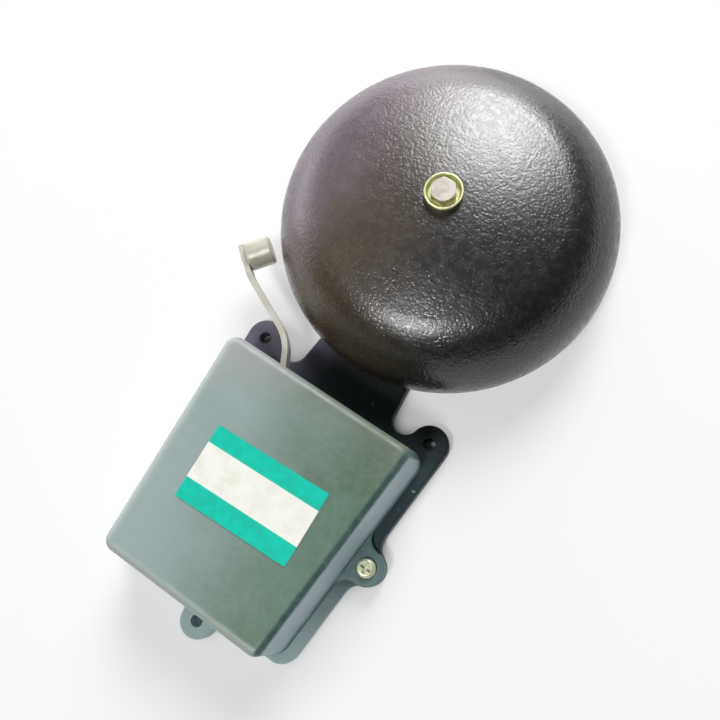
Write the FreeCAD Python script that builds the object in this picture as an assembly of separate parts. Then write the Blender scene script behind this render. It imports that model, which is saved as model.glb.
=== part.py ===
"""Mains electric bell for a classroom or corridor wall, lying on its back.

A cast plate carries a domed gong on a pillar and, beside it, a covered
electromagnet whose hinged armature swings a strip with a hammer head
against the gong's rim. Millimetres, +Z out of the wall. The origin is on
the plate's back face, midway between the two ear holes beside the gong.
+Y runs from the gong towards the cover, and the hammer is on the +X side.
"""
import FreeCAD, Part
import math
import os

from FreeCAD import Vector

# Gong
gong_dia = 150.0
gong_ear_gap = 10.0
gong_wall = 2.5
gong_rim_height = 17.6
gong_skirt = 4.0
gong_crown_rise = 5.4
gong_knuckle_radius = 31.0
gong_seat_dia = 20.0
gong_hole_dia = 6.6

# Gong fixing
post_dia = 14.0
post_spigot_dia = 8.0
post_spigot_length = 8.0
post_thread_depth = 16.0
boss_dia = 24.0
boss_height = 5.0
boss_fillet = 2.0
bolt_dia = 6.0
bolt_length = 18.0
bolt_across_flats = 10.0
bolt_head_height = 4.0
bolt_head_chamfer = 0.7
cup_washer_dia = 16.5
cup_washer_floor_dia = 12.6
cup_washer_height = 3.6
cup_washer_thickness = 1.0
cup_washer_flare = 1.0
cup_washer_edge_radius = 0.35
packing_thickness = 1.0

# Cast plate
plate_thickness = 7.2
plate_edge_radius = 1.4
plate_side_margin = 4.8
plate_far_overhang = 2.3
plate_far_corner_radius = 8.0
neck_end_radius = 16.0
notch_radius = 6.0
notch_fall = 3.2
ear_outset = 4.4
ear_radius = 8.8
ear_hole_dia = 5.5
far_ear_x = -3.0
far_ear_reach = 5.2
far_ear_radius = 8.0
far_ear_fillet = 6.0
pocket_depth = 2.2
pocket_rim = 7.0
pocket_near_y = 22.0
pocket_corner_radius = 6.0

# Side lug that takes the cover's screw
lug_outset = 4.0
lug_radius = 8.0
lug_fillet = 8.0

# Cover
cover_corner_radius = 7.4
cover_draft = 2.45
cover_taper = 5.6
cover_wall = 2.0
cover_near_room = 6.2
cover_side_room = 7.3
cover_far_room = 8.3
cover_headroom = 5.1
cover_edge_radius = 3.6
cover_lug_thickness = 3.6
cover_lug_edge_radius = 1.0
cover_lug_fillet = 7.0
cover_lug_root = 12.0
screw_pocket_dia = 9.4
screw_pocket_depth = 0.6
slot_width = 14.0
slot_headroom = 4.5
hole_clearance = 0.4
thread_clearance = 0.06

# Hooks that hold the cover's side away from its screw
hook_width = 10.0
hook_end_distance = 16.0
hook_thickness = 1.5
hook_depth = 4.8
hook_nose = 1.6
hook_nose_height = 1.8
hook_root = 4.0
hook_play = 0.3

# Label
label_length = 54.2
label_width = 33.3
label_thickness = 0.3
label_corner_radius = 0.8
label_shift_x = -1.1
label_shift_y = -0.3
label_tilt_deg = 2.4

# Striker strip, named from its foot on the armature to its tip
arm_thickness = 2.5
arm_width = 7.4
arm_foot_length = 17.0
arm_foot_bend = 5.0
arm_exit_outset = 2.5
arm_exit_inset = 0.9
arm_exit_heading_deg = -62.0
arm_elbow_run = 11.6
arm_elbow_bend = 22.0
arm_reach_heading_deg = -25.2
arm_tip_bend = 20.0
arm_tip_heading_deg = -38.3
arm_hammer_run = 10.0
arm_end_setback = 1.0
hammer_dia = 13.0
hammer_length = 11.6
hammer_gap = 4.04
hammer_chamfer = 0.7
hammer_rivet_dia = 3.0
hammer_rivet_depth = 6.0
hammer_rivet_head_height = 0.5
rivet_head_dia = 5.0
rivet_head_height = 1.0
rivet_crown_share = 0.7

# Armature and its leaf spring
armature_front_y = 24.5
armature_thickness = 3.0
armature_width = 16.0
armature_left_overlap = 1.0
armature_right_overlap = 2.0
armature_chamfer = 0.5
arm_rivet_dia = 2.5
arm_rivet_edge = 3.4
arm_rivet_spacing = 6.4
leaf_thickness = 0.5
leaf_width = 13.0
leaf_free_length = 10.0

# Post that holds the leaf spring
spring_post_width = 9.0
spring_post_thickness = 3.0
spring_post_headroom = 8.5
spring_post_foot = 14.5
clamp_thickness = 1.5
clamp_screw_spacing = 7.0

# Laminated core, bobbins and windings
core_centre_x = -4.0
core_leg_spacing = 36.0
core_leg_width = 12.0
core_stack = 16.0
core_yoke_depth = 12.0
pole_gap = 3.4
bobbin_clearance = 0.2
bobbin_wall = 1.2
bobbin_flange = 1.5
bobbin_length = 34.0
bobbin_near_gap = 1.6
bobbin_far_gap = 2.4
bobbin_floor_gap = 3.3
bobbin_corner_radius = 1.5
winding_build = 3.8
flange_overhang = 0.8

# Bracket under the core
bracket_thickness = 2.0
bracket_depth = 10.0
bracket_foot = 10.0
core_screw_spacing = 28.0

# Stop screw of the armature
stop_inset = 5.0
stop_screw_dia = 4.0
stop_screw_length = 12.0
stop_gap = 0.2
stop_slot_width = 0.8
stop_slot_depth = 1.2
stop_bracket_gap = 5.0
stop_bracket_thickness = 2.0
stop_bracket_width = 10.0
stop_bracket_headroom = 6.0
stop_bracket_foot = 12.5
stop_nut_across_flats = 7.0
stop_nut_thickness = 2.2

# Screws: M3, M4 and M5 heads with a cross recess, the M5 one deeper and straight sided
m5_dia = 5.0
m5_head_dia = 8.5
m5_head_height = 3.3
m4_dia = 4.0
m4_head_dia = 8.0
m4_head_height = 2.6
m4_nut_across_flats = 7.0
m4_nut_height = 3.0
m3_dia = 3.0
m3_head_dia = 5.6
m3_head_height = 1.9
plate_thread_depth = 4.2
cover_thread_depth = 6.2
screw_end_gap = 0.4
recess_length_share = 0.58
recess_width_share = 0.15
recess_depth_share = 0.55
head_edge_share = 0.42

# Terminal block, earth screw and cable entry
block_x = 10.0
block_lead_gap = 4.0
block_width = 30.0
block_depth = 16.0
block_height = 15.0
block_edge_radius = 0.8
terminal_spacing = 17.0
terminal_rise = 6.5
terminal_tube_dia = 5.0
terminal_tube_bore = 3.2
terminal_screw_edge = 4.0
terminal_well_dia = 6.2
terminal_screw_sink = 1.0
block_saddle_width = 9.0
block_saddle_depth = 4.0
earth_x = -22.0
earth_setback = 7.0
earth_boss_dia = 11.0
earth_boss_height = 2.0
earth_washer_dia = 9.0
earth_washer_thickness = 0.8
entry_x = 10.0
entry_height = 20.0
entry_hole_dia = 10.0
grommet_bore = 7.0
grommet_flange_dia = 14.0
grommet_flange = 1.6
grommet_clearance = 0.1

# Insulated wires inside the cover
wire_dia = 1.6
wire_bend = 3.0
lead_over_core = 1.8
lead_head_gap = 1.2
lead_yoke_gap = 3.1
link_bow = 3.6
link_run = 3.3
link_bend = 2.2

# Overrun that every cut may use, and the shortest edge worth drawing
overrun = 1.0
shortest_edge = 0.0001

bobbin_half_height = core_stack / 2 + bobbin_clearance + bobbin_wall + winding_build + flange_overhang
magnet_height = plate_thickness + bobbin_floor_gap + bobbin_half_height
core_bottom = magnet_height - core_stack / 2
core_top = magnet_height + core_stack / 2
leg_right_x = core_centre_x + core_leg_spacing / 2
leg_left_x = core_centre_x - core_leg_spacing / 2
core_reach = core_leg_spacing / 2 + core_leg_width / 2
armature_left_x = core_centre_x - core_reach - armature_left_overlap
armature_right_x = core_centre_x + core_reach + armature_right_overlap
armature_back_y = armature_front_y + armature_thickness
pole_y = armature_back_y + pole_gap
bobbin_near_y = pole_y + bobbin_near_gap
bobbin_far_y = bobbin_near_y + bobbin_length
yoke_near_y = bobbin_far_y + bobbin_far_gap
yoke_far_y = yoke_near_y + core_yoke_depth
spring_post_x = armature_right_x + leaf_free_length
stop_x = armature_left_x + stop_inset
stop_tip_y = armature_front_y - stop_gap
stop_end_y = stop_tip_y - stop_screw_length
stop_bracket_y = armature_front_y - stop_bracket_gap - stop_bracket_thickness

lead_drop_y = yoke_far_y + lead_yoke_gap
lead_head_clearance = m4_head_dia / 2 + lead_head_gap + wire_dia / 2
block_near_y = lead_drop_y + block_lead_gap
terminal_height = plate_thickness + terminal_rise
wire_end_height = terminal_height - (terminal_tube_bore - wire_dia) / 2 + thread_clearance
earth_y = block_near_y + earth_setback

cover_near_y = stop_end_y - cover_near_room
cover_far_y = block_near_y + block_depth + cover_far_room
cover_middle_y = (cover_near_y + cover_far_y) / 2
cover_near_x = spring_post_x + spring_post_width + cover_side_room
cover_near_corner_x = cover_near_x - cover_corner_radius
cover_near_corner_y = cover_near_y + cover_corner_radius
cover_far_corner_x = cover_near_corner_x - cover_taper
cover_far_corner_y = cover_far_y - cover_corner_radius
cover_top_height = magnet_height + bobbin_half_height + cover_headroom + cover_wall
cover_height = cover_top_height - plate_thickness

ear_x = cover_near_corner_x + ear_outset
lug_x = cover_near_x + lug_outset
plate_far_y = cover_far_y + plate_far_overhang
plate_far_corner_x = cover_far_corner_x + cover_corner_radius + plate_side_margin - plate_far_corner_radius
plate_far_corner_y = plate_far_y - plate_far_corner_radius
far_ear_y = plate_far_y + far_ear_reach

gong_radius = gong_dia / 2
gong_offset = gong_radius + gong_ear_gap
gong_shoulder_height = gong_rim_height + gong_skirt
gong_dome_height = gong_knuckle_radius + gong_crown_rise
gong_apex_height = gong_shoulder_height + gong_dome_height
arm_y = armature_front_y - leaf_thickness - arm_thickness / 2
arm_exit_x = armature_right_x + arm_exit_outset
arm_exit_y = cover_near_y + arm_exit_inset


def heading(degrees):
    """Unit vector in the plan, at an angle from +X."""
    return Vector(math.cos(math.radians(degrees)), math.sin(math.radians(degrees)), 0)


def block(low_x, high_x, low_y, high_y, low_z, high_z):
    """Rectangular solid between three pairs of planes."""
    return Part.makeBox(high_x - low_x, high_y - low_y, high_z - low_z, Vector(low_x, low_y, low_z))


def rod(diameter, start, end):
    """Round bar from one point to another."""
    return Part.makeCylinder(diameter / 2, (end - start).Length, start, end - start)


def ring(outer, inner, start, end):
    """Round bar with a round hole all along it."""
    along = (end - start).normalize()
    return rod(outer, start, end).cut(rod(inner, start - along * overrun, end + along * overrun))


def tangent_run(first, second):
    """Ends of the straight run between two circles of signed radius.

    The route keeps a positive circle on its left and a negative one on its right.
    """
    (x1, y1), r1 = first
    (x2, y2), r2 = second
    span = math.hypot(x2 - x1, y2 - y1)
    lean = math.asin(max(-1, min(1, (r1 - r2) / span)))
    angle = math.atan2(y2 - y1, x2 - x1) + lean
    left = (-math.sin(angle), math.cos(angle))
    start = (x1 - r1 * left[0], y1 - r1 * left[1])
    end = (x2 - r2 * left[0], y2 - r2 * left[1])
    return start, end


def belt(circles, height):
    """Closed wire round a list of ((x, y), signed radius), as a belt goes round pulleys."""
    runs = [tangent_run(circle, circles[i + 1 - len(circles)]) for i, circle in enumerate(circles)]
    pen = Vector(*runs[-1][1], height)
    edges = []
    for ((cx, cy), radius), (leave, after) in zip(circles, runs):
        leave = Vector(*leave, height)
        after = Vector(*after, height)
        if (leave - pen).Length > shortest_edge:
            begin = math.atan2(pen.y - cy, pen.x - cx)
            sweep = math.atan2(leave.y - cy, leave.x - cx) - begin
            sweep = sweep % (2 * math.pi) if radius > 0 else -(-sweep % (2 * math.pi))
            crest = Vector(cx, cy, height) + heading(math.degrees(begin + sweep / 2)) * abs(radius)
            edges.append(Part.Arc(pen, crest, leave).toShape())
            pen = leave
        if (after - pen).Length > shortest_edge:
            edges.append(Part.LineSegment(pen, after).toShape())
            pen = after
    return Part.Wire(edges)


def slab(circles, low, high):
    """Solid of a belt's outline between two heights."""
    return Part.Face(belt(circles, low)).extrude(Vector(0, 0, high - low))


def mirrored(circles):
    """The same circles on the -X side, in the order that keeps the outline on its way round."""
    return [((-x, y), radius) for (x, y), radius in reversed(circles)]


def lug_circles(near, far, centre, radius, fillet):
    """Circles of a rounded lug with hollow fillets, on the side line from near to far."""
    start, end = (Vector(*point, 0) for point in tangent_run(near, far))
    along = (end - start).normalize()
    outward = Vector(along.y, -along.x, 0)
    offset = Vector(*centre, 0) - start
    reach = math.sqrt((fillet + radius) ** 2 - (fillet - offset.dot(outward)) ** 2)
    circles = []
    for side in (-1, 1):
        hollow = start + along * (offset.dot(along) + side * reach) + outward * fillet
        circles.append(((hollow.x, hollow.y), -fillet))
    circles.insert(1, (centre, radius))
    return circles


def rounded_route(points, radii):
    """Edges of an open route, with an arc of its own radius at each inner point."""
    edges = []
    last = points[0]
    for before, corner, after, radius in zip(points, points[1:], points[2:], radii):
        back = (before - corner).normalize()
        ahead = (after - corner).normalize()
        half = back.getAngle(ahead) / 2
        start = corner + back * (radius / math.tan(half))
        end = corner + ahead * (radius / math.tan(half))
        middle = corner + (back + ahead).normalize() * (radius / math.sin(half) - radius)
        edges.append(Part.LineSegment(last, start).toShape())
        edges.append(Part.Arc(start, middle, end).toShape())
        last = end
    edges.append(Part.LineSegment(last, points[-1]).toShape())
    return edges


def offset_route(points, radii, side):
    """A flat route's points and radii, moved to its left by side or to its right if negative."""
    runs = [(b - a).normalize() for a, b in zip(points, points[1:])]
    lefts = [Vector(-run.y, run.x, 0) for run in runs]
    moved = [points[0] + lefts[0] * side]
    for corner, left, next_left in zip(points[1:], lefts, lefts[1:]):
        moved.append(corner + (left + next_left) * (side / (1 + left.dot(next_left))))
    moved.append(points[-1] + lefts[-1] * side)
    turns = [run.cross(next_run).z for run, next_run in zip(runs, runs[1:])]
    return moved, [radius - side if turn > 0 else radius + side for radius, turn in zip(radii, turns)]


def ribbon(points, radii, thickness, low, high):
    """Bent strip on edge: a flat route of given centre radii, thickened and extruded."""
    left, left_radii = offset_route(points, radii, thickness / 2)
    right, right_radii = offset_route(points, radii, -thickness / 2)
    edges = rounded_route(left, left_radii) + rounded_route(right, right_radii)
    edges.append(Part.LineSegment(left[0], right[0]).toShape())
    edges.append(Part.LineSegment(left[-1], right[-1]).toShape())
    face = Part.Face(Part.Wire(Part.__sortEdges__(edges)))
    face.translate(Vector(0, 0, low))
    return face.extrude(Vector(0, 0, high - low))


def side_bracket(points, radii, thickness, middle_x, width):
    """Bent plate whose route, given as (y, z), lies across X."""
    shape = ribbon([Vector(y, z, 0) for y, z in points], radii, thickness, 0, width)
    shape.rotate(Vector(), Vector(1, 1, 1), 120)
    shape.translate(Vector(middle_x - width / 2, 0, 0))
    return shape


def tube(points, radii, diameter):
    """Round wire along a route."""
    path = Part.Wire(rounded_route(points, radii))
    section = Part.Wire(Part.Circle(points[0], points[1] - points[0], diameter / 2).toShape())
    return path.makePipeShell([section], True, False)


def hexagon(across_flats, height):
    """Hexagonal prism that stands on the origin."""
    corner_radius = across_flats / math.sqrt(3)
    corners = [heading(turn) * corner_radius for turn in range(0, 361, 60)]
    return Part.Face(Part.makePolygon(corners)).extrude(Vector(0, 0, height))


def edges_at(shape, height):
    """Edges that lie wholly at one height."""
    return [e for e in shape.Edges if all(abs(v.Z - height) < shortest_edge for v in e.Vertexes)]


def edges_along_y(shape):
    """Straight edges of a block that run along Y."""
    return [e for e in shape.Edges if abs(e.Vertexes[0].Y - e.Vertexes[-1].Y) > shortest_edge]


def pan_screw(dia, head_dia, head_height, length):
    """Cross recess screw: head standing on the origin, shank going down."""
    head = Part.makeCylinder(head_dia / 2, head_height)
    head = head.makeFillet(head_height * head_edge_share, edges_at(head, head_height))
    arm = head_dia * recess_length_share / 2
    half = head_dia * recess_width_share / 2
    floor = head_height * (1 - recess_depth_share)
    head = head.cut(block(-arm, arm, -half, half, floor, head_height + overrun))
    head = head.cut(block(-half, half, -arm, arm, floor, head_height + overrun))
    return head.fuse(rod(dia, Vector(), Vector(0, 0, -length))).removeSplitter()


def placed(shape, x, y, z):
    """Copy of a shape moved to a point."""
    copy = shape.copy()
    copy.translate(Vector(x, y, z))
    return copy


def facing_gong(shape, x, y, z):
    """Copy of an upright shape turned so that its top faces -Y, then moved to a point."""
    copy = shape.copy()
    copy.rotate(Vector(), Vector(1, 0, 0), 90)
    copy.translate(Vector(x, y, z))
    return copy


def aimed(shape, direction, point):
    """Copy of an upright shape turned so that its top faces a flat direction, moved to a point."""
    copy = shape.copy()
    copy.rotate(Vector(), Vector(0, 1, 0), 90)
    copy.rotate(Vector(), Vector(0, 0, 1), math.degrees(math.atan2(direction.y, direction.x)))
    copy.translate(point)
    return copy


def drill_down(shape, diameter, spots, high, low):
    """Shape with upright round holes between two heights."""
    for x, y in spots:
        shape = shape.cut(rod(diameter, Vector(x, y, high), Vector(x, y, low)))
    return shape


def drill_along_y(shape, diameter, spots, near, far):
    """Shape with round holes along Y, whose spots are (x, z)."""
    for x, z in spots:
        shape = shape.cut(rod(diameter, Vector(x, near, z), Vector(x, far, z)))
    return shape


crown_radius = ((gong_radius - gong_knuckle_radius) ** 2 + gong_dome_height ** 2
                - gong_knuckle_radius ** 2) / (2 * gong_crown_rise)
crown_centre = gong_apex_height - crown_radius
seat_height = crown_centre + math.sqrt(crown_radius ** 2 - (gong_seat_dia / 2) ** 2)
underside_height = seat_height - gong_wall
post_top = underside_height - packing_thickness
boss_top = plate_thickness + boss_height


def dome_section(inset):
    """Edges of the dome's half section, moved inwards by inset, and its two end points."""
    knuckle = gong_knuckle_radius - inset
    crown = crown_radius - inset
    knuckle_x = gong_radius - gong_knuckle_radius
    lean = math.atan2(knuckle_x, gong_shoulder_height - crown_centre)
    rim = Vector(gong_radius - inset, 0, gong_rim_height)
    shoulder = Vector(gong_radius - inset, 0, gong_shoulder_height)
    between = (math.pi / 2 - lean) / 2
    bulge = Vector(knuckle_x + knuckle * math.cos(between), 0,
                   gong_shoulder_height + knuckle * math.sin(between))
    meeting = Vector(crown * math.sin(lean), 0, crown_centre + crown * math.cos(lean))
    seat_z = seat_height - inset
    seat_x = math.sqrt(crown ** 2 - (seat_z - crown_centre) ** 2)
    turn = (lean + math.atan2(seat_x, seat_z - crown_centre)) / 2
    sweep = Vector(crown * math.sin(turn), 0, crown_centre + crown * math.cos(turn))
    seat = Vector(seat_x, 0, seat_z)
    middle = Vector(0, 0, seat_z)
    edges = [
        Part.LineSegment(rim, shoulder).toShape(),
        Part.Arc(shoulder, bulge, meeting).toShape(),
        Part.Arc(meeting, sweep, seat).toShape(),
        Part.LineSegment(seat, middle).toShape(),
    ]
    return edges, rim, middle


def gong():
    """Pressed dome with a flat seat and one hole at its crown."""
    outer, outer_rim, outer_middle = dome_section(0)
    inner, inner_rim, inner_middle = dome_section(gong_wall)
    edges = outer + inner
    edges.append(Part.LineSegment(outer_rim, inner_rim).toShape())
    edges.append(Part.LineSegment(outer_middle, inner_middle).toShape())
    section = Part.Face(Part.Wire(Part.__sortEdges__(edges)))
    dome = section.revolve(Vector(), Vector(0, 0, 1), 360)
    dome = drill_down(dome, gong_hole_dia, [(0, 0)], seat_height + overrun, underside_height - overrun)
    return placed(dome, 0, -gong_offset, 0)


def cup_washer():
    """Dished washer whose raised rim stands round the bolt's head."""
    rim = cup_washer_dia / 2
    floor = cup_washer_floor_dia / 2
    foot = rim - cup_washer_flare
    wall = cup_washer_thickness
    outline = [(gong_hole_dia / 2, 0), (foot, 0), (rim, cup_washer_height), (rim - wall, cup_washer_height),
               (floor, wall), (gong_hole_dia / 2, wall)]
    points = [Vector(x, 0, z) for x, z in outline]
    section = Part.Face(Part.makePolygon(points + points[:1]))
    washer = section.revolve(Vector(), Vector(0, 0, 1), 360)
    return washer.makeFillet(cup_washer_edge_radius, edges_at(washer, cup_washer_height))


def gong_fixing():
    """Pillar, packing, cup washer and hexagon bolt on the gong's axis."""
    nodes = {}
    top = Vector(0, 0, post_top)
    post = rod(post_dia, Vector(0, 0, boss_top), top)
    post = post.fuse(rod(post_spigot_dia, Vector(0, 0, boss_top - post_spigot_length), top))
    bore = bolt_dia + 2 * thread_clearance
    nodes["gong_post"] = drill_down(post, bore, [(0, 0)], post_top + overrun, post_top - post_thread_depth)
    nodes["gong_packing_washer"] = ring(post_dia, gong_hole_dia, top, Vector(0, 0, underside_height))
    nodes["gong_cup_washer"] = placed(cup_washer(), 0, 0, seat_height)
    corner_dia = 2 * bolt_across_flats / math.sqrt(3)
    envelope = rod(corner_dia, Vector(), Vector(0, 0, bolt_head_height))
    envelope = envelope.makeChamfer(bolt_head_chamfer, edges_at(envelope, bolt_head_height))
    head = hexagon(bolt_across_flats, bolt_head_height).common(envelope)
    bolt = head.fuse(rod(bolt_dia, Vector(), Vector(0, 0, -bolt_length))).removeSplitter()
    nodes["gong_bolt"] = placed(bolt, 0, 0, seat_height + cup_washer_thickness)
    return {name: placed(shape, 0, -gong_offset, 0) for name, shape in nodes.items()}


notch_x = ear_x - math.sqrt((notch_radius + ear_radius) ** 2 - notch_fall ** 2)
plate_ear = ((ear_x, 0), ear_radius)
plate_far_corner = ((plate_far_corner_x, plate_far_corner_y), plate_far_corner_radius)
cover_near_corner = ((cover_near_corner_x, cover_near_corner_y), cover_corner_radius)
cover_far_corner = ((cover_far_corner_x, cover_far_corner_y), cover_corner_radius)
lug_spot = (-lug_x, cover_middle_y)
core_screw_spots = [(core_centre_x - core_screw_spacing / 2, yoke_near_y + core_yoke_depth / 2),
                    (core_centre_x + core_screw_spacing / 2, yoke_near_y + core_yoke_depth / 2)]
bracket_reach = core_reach + bracket_foot / 2
bracket_spots = [(core_centre_x - bracket_reach, yoke_near_y + core_yoke_depth / 2),
                 (core_centre_x + bracket_reach, yoke_near_y + core_yoke_depth / 2)]
spring_post_spot = (spring_post_x + spring_post_width / 2,
                    armature_front_y + (spring_post_thickness + spring_post_foot) / 2)
stop_bracket_spot = (stop_x, stop_bracket_y + (stop_bracket_thickness + stop_bracket_foot) / 2)
block_spot = (block_x, block_near_y + block_depth / 2)


def wall_block(spot, width, outer, inner, low, high):
    """Block along the foot of the cover's +X wall, between two depths inwards of its outer face."""
    start, end = (Vector(*point, 0) for point in tangent_run(cover_near_corner, cover_far_corner))
    along = (end - start).normalize()
    inward = Vector(-along.y, along.x, 0)
    corners = [start + along * (spot + side * width / 2) + inward * depth
               for side, depth in ((-1, outer), (1, outer), (1, inner), (-1, inner))]
    return slab([((corner.x, corner.y), 0) for corner in corners], low, high)


def hook_spots():
    """Places of the two hooks along the straight foot of the cover's +X wall."""
    start, end = (Vector(*point, 0) for point in tangent_run(cover_near_corner, cover_far_corner))
    return hook_end_distance, (end - start).Length - hook_end_distance


def hook(spot):
    """Tongue under the cover's wall, with a nose that points outwards."""
    inner = cover_wall - hook_play / 2
    outer = inner - hook_thickness
    low = plate_thickness - hook_depth
    tongue = wall_block(spot, hook_width, outer, inner, low, plate_thickness + hook_root)
    nose = wall_block(spot, hook_width, -hook_nose, inner, low, low + hook_nose_height)
    return tongue.fuse(nose).removeSplitter()


def hook_window(spot):
    """Room in the plate that lets a hook in from above and then slide outwards under the plate's edge."""
    width = hook_width + 2 * hook_play
    inner = cover_wall + hook_nose + 2 * hook_play
    step = plate_thickness - hook_depth + hook_nose_height + hook_play
    upper = wall_block(spot, width, 0, inner, step - overrun, plate_thickness + overrun)
    return upper.fuse(wall_block(spot, width, -hook_nose - hook_play, inner, -overrun, step))


def base_plate():
    """Cast plate: tapered body, two near ears, neck to the gong's axis, side lug and far ear."""
    near = [((notch_x, -notch_fall), -notch_radius), plate_ear]
    right = near + [plate_far_corner]
    left = near + lug_circles(plate_ear, plate_far_corner, (lug_x, cover_middle_y), lug_radius, lug_fillet)
    left.append(plate_far_corner)
    far = lug_circles(plate_far_corner, mirrored([plate_far_corner])[0], (far_ear_x, far_ear_y),
                      far_ear_radius, far_ear_fillet)
    outline = [((0, -gong_offset), neck_end_radius)] + right + far + mirrored(left)
    plate = slab(outline, 0, plate_thickness)
    plate = plate.makeFillet(plate_edge_radius, edges_at(plate, plate_thickness))

    axis = Vector(0, -gong_offset, 0)
    boss = rod(boss_dia, axis, axis + Vector(0, 0, boss_top))
    plate = plate.fuse(boss).removeSplitter()
    foot = [e for e in edges_at(plate, plate_thickness) if abs(e.Length - math.pi * boss_dia) < shortest_edge]
    plate = plate.makeFillet(boss_fillet, foot)
    plate = plate.fuse(rod(earth_boss_dia, Vector(earth_x, earth_y, pocket_depth + overrun),
                           Vector(earth_x, earth_y, plate_thickness + earth_boss_height)))

    inset = pocket_rim + pocket_corner_radius
    pocket = [((ear_x + ear_radius - inset, pocket_near_y + pocket_corner_radius), pocket_corner_radius),
              ((plate_far_corner_x + plate_far_corner_radius - inset, plate_far_y - inset),
               pocket_corner_radius)]
    plate = plate.cut(slab(pocket + mirrored(pocket), -overrun, pocket_depth))

    ears = [(ear_x, 0), (-ear_x, 0), (far_ear_x, far_ear_y)]
    plate = drill_down(plate, ear_hole_dia, ears, plate_thickness + overrun, -overrun)
    m4_thread = m4_dia + 2 * thread_clearance
    plate = drill_down(plate, m5_dia + 2 * thread_clearance, [lug_spot], plate_thickness + overrun,
                       plate_thickness - cover_thread_depth)
    for spot in hook_spots():
        plate = plate.cut(hook_window(spot))
    inner = bracket_spots + [spring_post_spot, stop_bracket_spot, block_spot]
    plate = drill_down(plate, m4_thread, inner, plate_thickness + overrun,
                       plate_thickness - plate_thread_depth)
    plate = drill_down(plate, m4_thread, [(earth_x, earth_y)], plate_thickness + earth_boss_height + overrun,
                       plate_thickness - plate_thread_depth)
    spigot = post_spigot_dia + 2 * thread_clearance
    return drill_down(plate, spigot, [(0, -gong_offset)], boss_top + overrun,
                      boss_top - post_spigot_length - screw_end_gap)


def cover_circles(inset):
    """The cover's four corners, moved inwards by inset."""
    corners = [(centre, radius - inset) for centre, radius in (cover_near_corner, cover_far_corner)]
    return corners + mirrored(corners)


def drafted(inset, top):
    """Solid block in the cover's outline, narrowing with the draft up to a height."""
    narrowing = cover_draft * (top - plate_thickness) / cover_height
    wires = [belt(cover_circles(inset), plate_thickness), belt(cover_circles(inset + narrowing), top)]
    return Part.makeLoft(wires, True, True)


def cover_lug():
    """Screw lug on the +X side of the cover, rooted in the middle of its wall."""
    narrowing = cover_draft * cover_lug_thickness / cover_height
    near, far = [(centre, radius - narrowing) for centre, radius in (cover_near_corner, cover_far_corner)]
    circles = lug_circles(near, far, (lug_x, cover_middle_y), lug_radius, cover_lug_fillet)
    start, end = (Vector(*point, 0) for point in tangent_run(near, far))
    along = (end - start).normalize()
    inward = Vector(-along.y, along.x, 0)
    roots = []
    for ((x, y), fillet), side in ((circles[2], 1), (circles[0], -1)):
        root = Vector(x, y, 0) + inward * (cover_wall / 2 - fillet) + along * (side * cover_lug_root)
        roots.append(((root.x, root.y), 0))
    top = plate_thickness + cover_lug_thickness
    lug = slab(circles + roots, plate_thickness, top)
    rounded = [e for e in edges_at(lug, top) if e.Curve.TypeId == "Part::GeomCircle"]
    return lug.makeFillet(cover_lug_edge_radius, rounded)


def cover():
    """Drafted box with a rounded top edge, a screw lug, two hooks, the striker's slot and a cable hole."""
    shell = drafted(0, cover_top_height)
    shell = shell.makeFillet(cover_edge_radius, edges_at(shell, cover_top_height))
    shell = shell.fuse(cover_lug().mirror(Vector(), Vector(1, 0, 0))).removeSplitter()
    shell = shell.cut(drafted(cover_wall, cover_top_height - cover_wall))
    for spot in hook_spots():
        shell = shell.fuse(hook(spot)).removeSplitter()
    slot_top = magnet_height + arm_width / 2 + slot_headroom
    shell = shell.cut(block(arm_exit_x - slot_width / 2, arm_exit_x + slot_width / 2,
                            cover_near_y - overrun, cover_near_corner_y,
                            plate_thickness - overrun, slot_top))
    lug_top = plate_thickness + cover_lug_thickness
    shell = drill_down(shell, m5_dia + hole_clearance, [lug_spot], lug_top + overrun,
                       plate_thickness - overrun)
    shell = drill_down(shell, screw_pocket_dia, [lug_spot], lug_top + overrun,
                       lug_top - screw_pocket_depth)
    anchor, outward = cable_entry()
    reach = outward * (cover_wall + overrun)
    return shell.cut(rod(entry_hole_dia, anchor - reach, anchor + reach))


def cable_entry():
    """Centre of the cable hole on the cover's far wall, and the wall's outward normal."""
    lean = math.atan2(cover_draft, cover_height)
    y = cover_far_y - cover_draft * (entry_height - plate_thickness) / cover_height
    return Vector(entry_x, y, entry_height), Vector(0, math.cos(lean), math.sin(lean))


def cable_grommet():
    """Rubber bush that grips the edge of the cable hole."""
    anchor, outward = cable_entry()
    inside = anchor - outward * (cover_wall * outward.y)
    grommet = rod(entry_hole_dia - 2 * grommet_clearance, inside, anchor)
    grommet = grommet.fuse(rod(grommet_flange_dia, anchor, anchor + outward * grommet_flange))
    grommet = grommet.fuse(rod(grommet_flange_dia, inside - outward * grommet_flange, inside))
    reach = outward * (grommet_flange + overrun)
    return grommet.removeSplitter().cut(rod(grommet_bore, inside - reach, anchor + reach))


def label_plate():
    """Thin plate on the cover's top, a little askew."""
    half_x = label_length / 2 - label_corner_radius
    half_y = label_width / 2 - label_corner_radius
    right = [((half_x, -half_y), label_corner_radius), ((half_x, half_y), label_corner_radius)]
    plate = slab(right + mirrored(right), 0, label_thickness)
    plate.rotate(Vector(), Vector(0, 0, 1), label_tilt_deg)
    return placed(plate, label_shift_x, cover_middle_y + label_shift_y, cover_top_height)


arm_tip_heading = heading(arm_tip_heading_deg)
towards_gong = Vector(arm_tip_heading.y, -arm_tip_heading.x, 0)


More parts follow.
